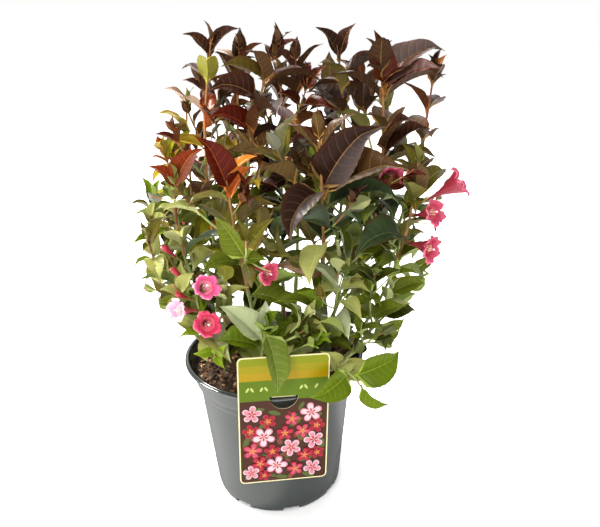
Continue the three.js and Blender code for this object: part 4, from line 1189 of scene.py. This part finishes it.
def add_ball(pile, axis, middle, radii, sides, material):
    """A closed egg with its long way along the flower."""
    turn = np.linspace(0.12, math.pi - 0.12, 6)
    path = middle + np.outer(-np.cos(turn) * radii[1], [0, 0, 1])
    add_tube(pile, axis, path, np.sin(turn) * radii[0], sides, [material])


def add_calyx(pile, axis, draw):
    """Five narrow sepals that stand off the foot of the tube."""
    green, size = paint("sepal", (134, 122, 66), 0.5), axis["size"]
    for k in range(5):
        lean = draw(0.8, 1.3)
        rows = [(out if at < 1 else out * lean, at, radius) for out, at, radius in SEPAL]
        add_part(pile, axis, rows, axis["start"], size, 5, [green], size, 72 * (k + 0.5))


def add_stamens(pile, axis, draw):
    cream, white = paint("anther", (226, 206, 150), 0.6), paint("filament", (244, 214, 214), 0.5)
    start, own, size = axis["start"], axis["own"], axis["size"]
    for k in range(5):
        reach = draw(0.78, 0.9)
        rows = [(out, at if at < 1 else reach, radius) for out, at, radius in STAMEN]
        end = add_part(pile, axis, rows, start, own, 5, [white], size, 72 * k + math.degrees(0.5))
        add_ball(pile, axis, end + [0, 0, 0.6], (0.55 * size, 1.5 * size), 6, cream)
    end = add_part(pile, axis, STYLE, start, own, 6, [white])
    add_ball(pile, axis, end, (1.1 * size, 0.8 * size), 8, white)


def make_flowers(masses):
    pile = Pile("flowers")
    faces = trumpet_faces()
    tan = paint("flower_stalk", (150, 134, 78), 0.55)
    for mass in masses:
        deals = FLOWER_DEALS.get(mass.name, ("pink", "rose"))
        for n, axis in enumerate(mass.flowers):
            draw = dice(mass.order, SEED["flower"], n)
            tone = deals[n % len(deals)]
            petals = [
                paint(f"petal_{tone}_{part}", colour, 0.5)
                for part, colour in zip(("tube", "outside", "inside", "throat", "edge"), FLOWER_TONES[tone])
            ]
            add_part(pile, axis, STALK, 0, max(axis["start"], 2), 8, [tan])
            add_calyx(pile, axis, draw)
            if axis["bud"]:
                add_part(pile, axis, BUD, axis["start"], axis["own"], 12, petals)
            else:
                pile.add(trumpet_points(axis, draw), faces, petals)
                add_stamens(pile, axis, draw)
    pile.place("bark", [], 70)


# ---- Pot ----

POT_TONE = (47, 52, 50)
POT_SIDES, POT_SHARP, LIP_FROM = 240, 38, 155.2
DRAINS = 8  # notches in the foot, with a hole between each two
FIRST_NOTCH = -81  # its heading
NOTCH = dict(at=(64.5, 0, 0), size=(24, 18, 12))
HOLE = dict(at=(53.5, 0, 7), radius=5, depth=12)


def arc(middle, radius, start, end, count):
    return [
        (middle[0] + radius * math.cos(math.radians(a)), middle[1] + radius * math.sin(math.radians(a)))
        for a in np.linspace(start, end, count)
    ]


POT_PROFILE = (  # from the middle of its underside round the lip to the middle of its floor
    (0, 0), (44.5, 0), (47, 6), (60, 6), (62.5, 0), (65.6, 0), (67.2, 0.7), (68.4, 2.2), (69.3, 4.6),
    (69.8, 8), (70.1, 11), (80.6, 122.5), (80.8, 125), (81.0, 126.2), (81.5, 127.2), (82.1, 128.0),
    (82.4, 129.0), (82.5, 130.5), (82.8, 133), (83.1, 134.4), (83.6, 135.4), (84.5, 136.2), (85.4, 136.9),
    (86.1, 137.8), (86.5, 139.0), (86.9, 140.6), (90.4, 152.6), (90.7, 154), (91.1, 155.1), (91.8, 155.5),
    (93.4, 155.5), *arc((93.6, 157.2), 1.4, -75, 80, 9), (93.3, 158.3), (92.9, 158.35),
    *arc((91.9, 158.8), 1.2, 20, 170, 8), (90.5, 158.0), (90.2, 157.0), (89.2, 155.5), (84.7, 138),
    (81.2, 135), (68.0, 9), (67.2, 7.8), (42.7, 7.8), (40.9, 1.8), (0, 1.8),
)


def lathe(name, profile, materials):
    """A closed solid turned from a profile that starts and ends on the axis.

    Its second material starts at LIP_FROM.
    """
    work = bmesh.new()
    rings = []
    for radius, height in profile:
        spokes = turns(POT_SIDES) if radius else [0]
        rings.append([
            work.verts.new((radius * MM * math.cos(a), radius * MM * math.sin(a), height * MM))
            for a in spokes
        ])
    for one, two in zip(rings, rings[1:]):
        for k in range(POT_SIDES):
            after = (k + 1) % POT_SIDES
            corners = [one[k % len(one)], one[after % len(one)], two[after % len(two)], two[k % len(two)]]
            face = work.faces.new(list(dict.fromkeys(corners)))
            face.material_index = int(min(one[0].co.z, two[0].co.z) > LIP_FROM * MM)
    bmesh.ops.recalc_face_normals(work, faces=work.faces)
    mesh = bpy.data.meshes.new(name)
    work.to_mesh(mesh)
    work.free()
    for finish in materials:
        mesh.materials.append(finish)
    return linked(name, mesh)


def pot_cuts():
    """The bodies that cut the notches and the drain holes."""
    cuts = bmesh.new()
    for i in range(DRAINS):
        turn = Matrix.Rotation(math.radians(360 * i / DRAINS + FIRST_NOTCH), 4, "Z")
        notch, hole = (Matrix.Translation(Vector(cut["at"]) * MM) for cut in (NOTCH, HOLE))
        notch = notch @ Matrix.Diagonal((*(Vector(NOTCH["size"]) * MM), 1))
        bmesh.ops.create_cube(cuts, size=1, matrix=turn @ notch)
        turn, radius = turn @ Matrix.Rotation(math.pi / DRAINS, 4, "Z"), HOLE["radius"] * MM
        bmesh.ops.create_cone(
            cuts, cap_ends=True, segments=24, radius1=radius, radius2=radius, depth=HOLE["depth"] * MM,
            matrix=turn @ hole,
        )
    mesh = bpy.data.meshes.new("cuts")
    cuts.to_mesh(mesh)
    cuts.free()
    return linked("cuts", mesh)


def make_pot():
    finishes = [
        paint("pot_plastic", POT_TONE, 0.3, 0.42),
        paint("pot_lip", POT_TONE, 0.12, 0.8),
    ]
    pot, cutter = lathe("pot_body", POT_PROFILE, finishes), pot_cuts()
    boolean = pot.modifiers.new("cuts", "BOOLEAN")
    boolean.object, boolean.solver, boolean.operation = cutter, "EXACT", "DIFFERENCE"
    bpy.context.view_layer.update()
    whole = bpy.data.meshes.new_from_object(pot.evaluated_get(bpy.context.evaluated_depsgraph_get()))
    pot.modifiers.clear()
    pot.data = whole
    smoothed(whole, POT_SHARP)
    bpy.data.objects.remove(cutter)
    pot.shadow_terminator_geometry_offset = 0.3
    pot.shadow_terminator_shading_offset = 0.2
    place(pot, "pot_plastic", ["pot"])


# ---- Compost ----

COMPOST_TONES = dict(
    dark=(36, 26, 18), peat=(68, 48, 32), bark=(116, 80, 50), pale=(196, 154, 106), fibre=(140, 108, 72),
)
DARK, PEAT, BARK, PALE, FIBRE = range(len(COMPOST_TONES))
BED = dict(rings=46, sides=96, radius=85.6, foot_radius=79, foot=132)
CHIP = dict(count=900, reach=86, edge=84, tones=(DARK, DARK, PEAT, PEAT, PEAT, PEAT, BARK, BARK, PALE))
CHIP_CORNERS = [(a, b, c) for c in (-1, 1) for a, b in ((-1, -1), (1, -1), (1, 1), (-1, 1))]
CHIP_FACES = ((0, 3, 2, 1), (4, 5, 6, 7), (0, 1, 5, 4), (1, 2, 6, 5), (2, 3, 7, 6), (3, 0, 4, 7))
STRAND = dict(count=150, reach=82, edge=83, points=6, sides=5, radius=0.32, lift=0.8, arch=1.6)


def ground(x, y):
    """Height of the compost, lumpy and a little lower towards the rim."""
    lumps = 2.2 * np.sin(x * 0.11 + 1.3) * np.sin(y * 0.13 + 0.4) + 1.6 * np.sin(x * 0.29 + y * 0.17)
    grains = 1.7 * np.sin(x * 0.53 + 2 * np.sin(y * 0.37)) * np.sin(y * 0.61 + 1.1)
    edge = smooth((np.hypot(x, y) - 70) / 18)
    return COMPOST_TOP - 1.5 + (lumps + grains) * (1 - 0.4 * edge) - 3.0 * edge


def add_bed(pile, tones):
    """The lumpy top of the compost on a closed, slightly narrower body."""
    draw = dice(SEED["bed"], SEED["bed"])
    rings, sides = BED["rings"], BED["sides"]
    radius, angle = BED["radius"] * (np.arange(1, rings + 1) / rings) ** 0.75, turns(sides)
    x, y = radius[:, None] * np.cos(angle), radius[:, None] * np.sin(angle)
    top = np.stack([x, y, ground(x, y)], -1).reshape(-1, 3)
    rim = BED["foot_radius"]
    below = np.stack([rim * np.cos(angle), rim * np.sin(angle), np.full(sides, BED["foot"])], -1)
    rows, _ = grid_faces(rings, sides, [DARK] * rings, (0, 3, 2, 1))
    speckle = [[PEAT if draw() < 0.5 else DARK for _ in range(rings - 1)] for _ in range(sides)]
    marks = np.transpose(speckle).ravel().tolist()
    middle, last, foot = rings * sides, (rings - 1) * sides, len(top) + 1
    for k in range(sides):
        after = (k + 1) % sides
        rows.append((middle, k, after))
        rows.append((last + k, foot + k, foot + after, last + after))
        rows.append((foot + sides, foot + after, foot + k))
        marks += [DARK] * 3
    points = [top, [[0, 0, ground(0.0, 0.0)]], below, [[0, 0, BED["foot"]]]]
    pile.add(np.concatenate(points), as_faces(rows, marks), tones)


def add_chips(pile, tones):
    """Chips of bark that lie on the compost or stick in it."""
    faces = as_faces(CHIP_FACES, [0] * len(CHIP_FACES))
    for n in range(CHIP["count"]):
        draw = dice(SEED["chips"], n)
        radius, turn = CHIP["reach"] * math.sqrt(draw()), draw(0, 2 * math.pi)
        size = np.array([draw(2.2, 8), draw(1.8, 4.6), draw(1.2, 3.4)]) * (1 if draw() < 0.8 else 1.6)
        radius = min(radius, CHIP["edge"] - size[0])
        x, y = radius * math.cos(turn), radius * math.sin(turn)
        rotation = np.array(
            Matrix.Rotation(draw(0, 6.3), 3, "Z")
            @ Matrix.Rotation(draw(-0.7, 0.7), 3, "X")
            @ Matrix.Rotation(draw(-0.6, 0.6), 3, "Y")
        )
        box = np.array(CHIP_CORNERS, float)
        box = box * [[draw(0.6, 1), draw(0.5, 1), draw(0.6, 1)] for _ in CHIP_CORNERS] * size / 2
        middle = np.array([x, y, ground(x, y) + size[2] * draw(-0.1, 0.55)])
        pile.add(middle + box @ rotation.T, faces, [tones[CHIP["tones"][int(draw(0, len(CHIP["tones"])))]]])


def add_strands(pile, tones):
    """Thin fibres that arch over the compost."""
    count, sides = STRAND["points"], STRAND["sides"]
    radii, faces = np.full(count, STRAND["radius"]), tube_faces(count, sides, [0] * (count - 1))
    for n in range(STRAND["count"]):
        draw = dice(SEED["fibres"], n)
        radius, turn, bearing = STRAND["reach"] * math.sqrt(draw()), draw(0, 6.3), draw(0, 6.3)
        length, bend = draw(6, 20), draw(-1, 1)
        path = []
        for share in np.linspace(0, 1, count):
            x = radius * math.cos(turn) + length * share * math.cos(bearing + bend * share)
            y = radius * math.sin(turn) + length * share * math.sin(bearing + bend * share)
            pull = min(1, STRAND["edge"] / max(1, math.hypot(x, y)))
            x, y = x * pull, y * pull
            path.append((x, y, ground(x, y) + STRAND["lift"] + STRAND["arch"] * math.sin(share * 3)))
        pile.add(tube_points(path, radii, sides), faces, [tones[FIBRE]])


def make_compost():
    pile = Pile("compost_top")
    tones = [paint(f"compost_{name}", tone, 0.95) for name, tone in COMPOST_TONES.items()]
    add_bed(pile, tones)
    add_chips(pile, tones)
    add_strands(pile, tones)
    pile.place("compost", ["compost"], 30)


# ---- Label ----

LABEL_TONES = dict(
    card=(200, 190, 146), lime=(108, 114, 4), honey=(126, 116, 6), gold=(138, 114, 4), green=(72, 92, 2),
    cream=(156, 166, 92), panel=(54, 26, 12), shade=(32, 26, 16), leaf=(66, 76, 32), stem=(100, 54, 36),
    brick=(116, 26, 28), deep=(126, 18, 34), rose=(146, 32, 50), pink=(160, 62, 80), blush=(172, 108, 120),
    white=(188, 160, 166), heart=(136, 24, 28), eye=(172, 116, 56),
)
EDGES = dict(deep="rose", rose="deep", pink="rose", blush="white", white="blush")  # the petals' margins
BANDS = dict(border=-1.2, honey=-9, gold=-16.5, green=-24.5, panel=-46)  # heights of their upper edges
# How far the inlays stand out of the card's back, and how far each blossom's layers rise.
INLAY = dict(sunk=0.7, flat=0.9, leaf=0.96, litter=0.92, leaflet=0.975, petal=1.02, layer=0.012, step=0.001)
SUNK = dict(leaf=0.8, blossom=0.85)
LITTER = dict(count=44, left=-33, right=33, low=-131, high=-64, tones=("shade", "stem", "leaf", "brick"))
LEAFLET_ROOM = ((-39, -136), (39, -50))
BLOSSOM_ROOM = 40.5
# Of each blossom: across, up, petal length, tone, how it is turned.
BLOSSOMS = (
    (-31, -60, 10.5, "blush", 10), (-15, -69, 9, "deep", 40), (8, -68, 8.5, "pink", 5),
    (26, -62, 12, "white", 25), (33, -77, 9, "deep", 0), (-33, -79, 9, "deep", 30),
    (-19, -86, 12.5, "white", 50), (1, -83, 9.5, "rose", 15), (18, -82, 9, "pink", 60),
    (29, -93, 11, "blush", 35), (-32, -101, 10.5, "pink", 5), (-11, -103, 9, "deep", 20),
    (7, -100, 11, "blush", 45), (20, -110, 9, "rose", 10), (33, -108, 8, "deep", 30),
    (-23, -116, 10, "rose", 60), (-32, -126, 9, "blush", 25), (-7, -119, 12, "white", 0),
    (11, -125, 9, "pink", 30), (28, -125, 10, "blush", 50), (-19, -130, 7, "deep", 0),
)
LEAFLETS = (  # across, up, length, heading
    (-38, -75, 15, 300), (-18, -55, 13, 190), (6, -76, 14, 40), (36, -58, 12, 200), (38, -93, 15, 260),
    (-38, -97, 13, 70), (0, -98, 15, 330), (15, -117, 14, 20), (-20, -102, 13, 150), (38, -112, 12, 120),
    (-37, -121, 13, 280), (-8, -133, 12, 350), (18, -134, 13, 340), (-3, -62, 12, 160), (14, -56, 10, 60),
    (-24, -76, 12, 30), (-38, -134, 8, 20), (20, -92, 12, 140),
)
SPRIG_HEIGHT = -36
SPRIG = (  # across, length, heading
    (-35, 5.5, 60), (-28, 5.5, 120), (-22, 5, 60), (-15, 5.5, 120), (15, 5, 60), (22, 5.5, 120),
    (29, 5.5, 60),
)
SLOT_RISE = LABEL["slot_top"] - LABEL["top"]


def in_label(points):
    """Points (across, out, up) of the card, hung on the rim."""
    turn = Matrix.Rotation(math.radians(LABEL["heading"]), 4, "Z")
    move = Matrix.Translation((0, -(RIM_RADIUS + AIR), LABEL["top"]))
    lean = Matrix.Rotation(math.radians(LABEL["tilt"]), 4, "Y")
    matrix = np.array(turn @ move @ lean)
    return np.array(points, float) @ matrix[:3, :3].T + matrix[:3, 3]


def turned(loop):
    """Twice the area inside a loop, more than 0 where it runs anticlockwise."""
    return sum(a[0] * b[1] - b[0] * a[1] for a, b in zip(loop, [*loop[1:], loop[0]]))


def plate(pile, loops, near, far, material, at=lambda u, v, depth: (u, depth, v)):
    """A flat plate between two depths, of an outline and then its holes. at: where a point of it is."""
    flat = [point for loop in loops for point in loop]
    count = len(flat)
    faces = []
    for face in tessellate_polygon([[Vector((*point, 0)) for point in loop] for loop in loops]):
        area = turned([flat[corner] for corner in face])
        if abs(area) > 1e-9:
            face = face if area > 0 else face[::-1]
            faces += [face, [corner + count for corner in reversed(face)]]
    base = 0
    for n, loop in enumerate(loops):
        forward = (turned(loop) > 0) == (n == 0)
        for k in range(len(loop)):
            a, b = base + k, base + (k + 1) % len(loop)
            face = (b, a, a + count, b + count)
            faces.append(face if forward else face[::-1])
        base += len(loop)
    points = [at(u, v, depth) for depth in (near, far) for u, v in flat]
    pile.add(in_label(points), as_faces(faces, [0] * len(faces)), [material])


def rounded(left, low, right, high, corner):
    outline = []
    for x, z, start in ((right, high, 0), (left, high, 90), (left, low, 180), (right, low, 270)):
        middle = (x - corner * (1 if x == right else -1), z - corner * (1 if z == high else -1))
        outline += arc(middle, corner, start, start + 90, 6)
    return outline


def slot_edge(start, end, count):
    """Points of the slot's curved edge between two angles."""
    return [
        (LABEL["slot_width"] / 2 * math.cos(a), SLOT_RISE + LABEL["slot_height"] * math.sin(a))
        for a in np.radians(np.linspace(start, end, count))
    ]


def petal(x, z, heading, length, width, foot=0.25):
    """A rounded petal from its foot at x, z."""
    ahead, across = compass(heading)[:2], compass(heading + 90)[:2]
    outline = []
    for a in turns(15):
        along = 0.5 - 0.5 * math.cos(a)
        half = math.sin(a) * width * (foot + (1 - foot) * along**0.8) / 2
        outline.append(tuple(np.array([x, z]) + ahead * along * length + across * half))
    return outline


def add_bands(inlay):
    """The coloured bands across the card and the dark panel below them, which go round the slot."""
    border, panel, corner = BANDS["border"], BANDS["panel"], LABEL["corner"] + BANDS["border"]
    left, right = -LABEL["width"] / 2 - border, LABEL["width"] / 2 + border
    top = [p for p in rounded(left, -60, right, border, corner) if p[1] > -8]
    inlay([(left, BANDS["honey"]), (right, BANDS["honey"]), *top], "lime")
    for high, low in (("honey", "gold"), ("gold", "green")):
        inlay([(left, BANDS[low]), (right, BANDS[low]), (right, BANDS[high]), (left, BANDS[high])], high)
    dip = math.degrees(math.asin((SLOT_RISE - panel) / LABEL["slot_height"]))
    sides = [(left, panel), *slot_edge(180 + dip, 180, 5), *slot_edge(360, 360 - dip, 5), (right, panel)]
    inlay([*sides, (right, BANDS["green"]), (left, BANDS["green"])], "green")
    foot = [p for p in rounded(left, -LABEL["height"] - border, right, 0, corner) if p[1] < -60]
    inlay([*foot, (right, panel), *slot_edge(360 - dip, 180 + dip, 15), (left, panel)], "panel")


def add_litter(inlay):
    """Small dark and reddish scraps behind the picture's leaflets."""
    for n in range(LITTER["count"]):
        draw = dice(SEED["litter"], n)
        x, z = draw(LITTER["left"], LITTER["right"]), draw(LITTER["low"], LITTER["high"])
        scrap = petal(x, z, draw(0, 360), draw(5, 9), draw(3, 6), 0.6)
        inlay(scrap, LITTER["tones"][n % 4], INLAY["litter"] + INLAY["step"] * n, SUNK["leaf"])


def add_leaflets(inlay):
    for n, (x, z, length, heading) in enumerate(LEAFLETS):
        tip = np.array([x, z]) + compass(heading)[:2] * length
        shift = np.clip(tip, *LEAFLET_ROOM) - tip
        outline = petal(x + shift[0], z + shift[1], heading, length, length * 0.42, 0.9)
        inlay(outline, "leaf", INLAY["leaflet"] + INLAY["step"] * n, SUNK["leaf"])


def add_blossoms(inlay):
    """Five-petalled blossoms, each above the one before, with an edge and a heart to every petal."""
    for n, (x, z, length, tone, turn) in enumerate(BLOSSOMS):
        x, length = min(max(x, length - BLOSSOM_ROOM), BLOSSOM_ROOM - length), length * 0.9
        out = INLAY["petal"] + INLAY["layer"] * 5 * n
        heart = "heart" if tone in ("white", "blush") else "eye"
        layers = ((1, 0.84, EDGES[tone]), (0.88, 0.62, tone), (0.42, 0.2, heart))
        for layer, (reach, width, shade) in enumerate(layers):
            for k in range(5):
                outline = petal(x, z, turn + 72 * k, length * reach, length * width)
                depth = out + INLAY["layer"] * layer + INLAY["step"] * k
                inlay(outline, shade, depth, SUNK["blossom"])
        inlay(petal(x - 0.9, z, 0, 1.8, 1.8, 1.0), "eye", out + 0.045, SUNK["blossom"])


def add_tongue(pile, card):
    """The strip above the slot that bends back over the rim and hangs inside the pot."""
    thick, reach, half = LABEL["thickness"], LABEL["tongue_reach"], LABEL["tongue_width"] / 2
    over, foot = SLOT_RISE, LABEL["tongue_foot"] - LABEL["top"]
    side = [
        (-thick + 0.1, over + 1.5), (-0.05, over + 2), (0.6, over - 0.3), (reach - 1.4, over - 0.3),
        (reach - 0.2, over - 0.6), (reach + 0.6, over - 1.2), (reach + thick, over - 2.2),
        (reach + thick, foot), (reach, foot), (reach, over - 2.2), (reach - 0.6, over - 1.2),
        (reach - 1.6, over - 1.1), (0.2, over - 1.1), (-thick + 0.1, over - 0.6),
    ]
    plate(pile, [side], half, -half, card, lambda u, v, depth: (depth, u, v))


def make_label():
    pile = Pile("plant_label")
    tones = {name: paint(f"label_{name}", tone, 0.3, 0.12) for name, tone in LABEL_TONES.items()}

    def inlay(outline, tone, out=INLAY["flat"], sunk=INLAY["sunk"]):
        plate(pile, [outline], -out, -sunk, tones[tone])

    half = LABEL["width"] / 2
    outline = rounded(-half, -LABEL["height"], half, 0, LABEL["corner"])
    plate(pile, [outline, slot_edge(180, 360, 17)], -LABEL["thickness"], 0, tones["card"])
    add_bands(inlay)
    for x, length, heading in SPRIG:
        inlay(petal(x, SPRIG_HEIGHT, heading, length, 2.4, 0.8), "cream", INLAY["leaf"], SUNK["leaf"])
    add_litter(inlay)
    add_leaflets(inlay)
    add_blossoms(inlay)
    add_tongue(pile, tones["card"])
    pile.place("label_card", ["label"], 30)


# ---- Building ----

SLOT_OF = {part["node"]: part["material_slot"] for part in frame["record"]["subparts"]}

masses = grow_shrub()
make_leaves(masses)
make_stems(masses)
make_twigs(masses)
make_flowers(masses)
make_pot()
make_compost()
make_label()

# ---- Floor, light and camera ----

FLOOR_HALF = 30
WHITE = (1.0, 1.0, 1.0, 1.0)
LIGHTS = (  # name, place, what it points at, size, power, colour
    ("key", (-1.4, 0.9, 2.1), (0, 0, 0.3), 0.6, 170, (1, 0.98, 0.94)),
    ("back", (0.5, 2.0, 2.9), (0, 0, 0.3), 2.4, 90, (1, 1, 1)),
    ("fill", (-0.6, -1.6, 1.6), (0, 0, 0.25), 0.6, 30, (1, 1, 1)),
)
CAMERA = dict(
    place=(0, -567.83, 476.34), ahead=(0.04910861, 0.93130308, -0.36091955),
    right=(0.99784317, -0.06150581, -0.02293547), lens=35.85, sensor=36, clip=0.02,
)

floor_mesh = bpy.data.meshes.new("floor")
floor_corners = [(x * FLOOR_HALF, y * FLOOR_HALF, 0) for x, y in ((-1, -1), (1, -1), (1, 1), (-1, 1))]
floor_mesh.from_pydata(floor_corners, [], [(0, 1, 2, 3)])
floor_mesh.materials.append(paint("floor", (255, 255, 255), 0.9, 0.0))
floor = linked("floor", floor_mesh)

scene = bpy.context.scene
scene.world = bpy.data.worlds.new("studio")
scene.world.use_nodes = True
sky = scene.world.node_tree.nodes["Background"]
sky.inputs["Color"].default_value = WHITE
sky.inputs["Strength"].default_value = 1.0

for name, place_at, target, size, power, colour in LIGHTS:
    light = bpy.data.lights.new(name, "AREA")
    light.shape, light.size, light.energy, light.color = "DISK", size, power, colour
    lamp = linked(name, light)
    lamp.location = place_at
    lamp.rotation_euler = (Vector(target) - Vector(place_at)).to_track_quat("-Z", "Y").to_euler()

camera = linked("camera", bpy.data.cameras.new("camera"))
camera.data.lens, camera.data.sensor_width = CAMERA["lens"], CAMERA["sensor"]
camera.data.clip_start = CAMERA["clip"]
ahead, right = Vector(CAMERA["ahead"]).normalized(), Vector(CAMERA["right"]).normalized()
turn = Matrix((right, right.cross(ahead), -ahead)).transposed().to_4x4()
camera.matrix_world = Matrix.Translation([along * MM for along in CAMERA["place"]]) @ turn
scene.camera = camera
scene.view_settings.view_transform = "Standard"
scene.view_settings.look = "None"
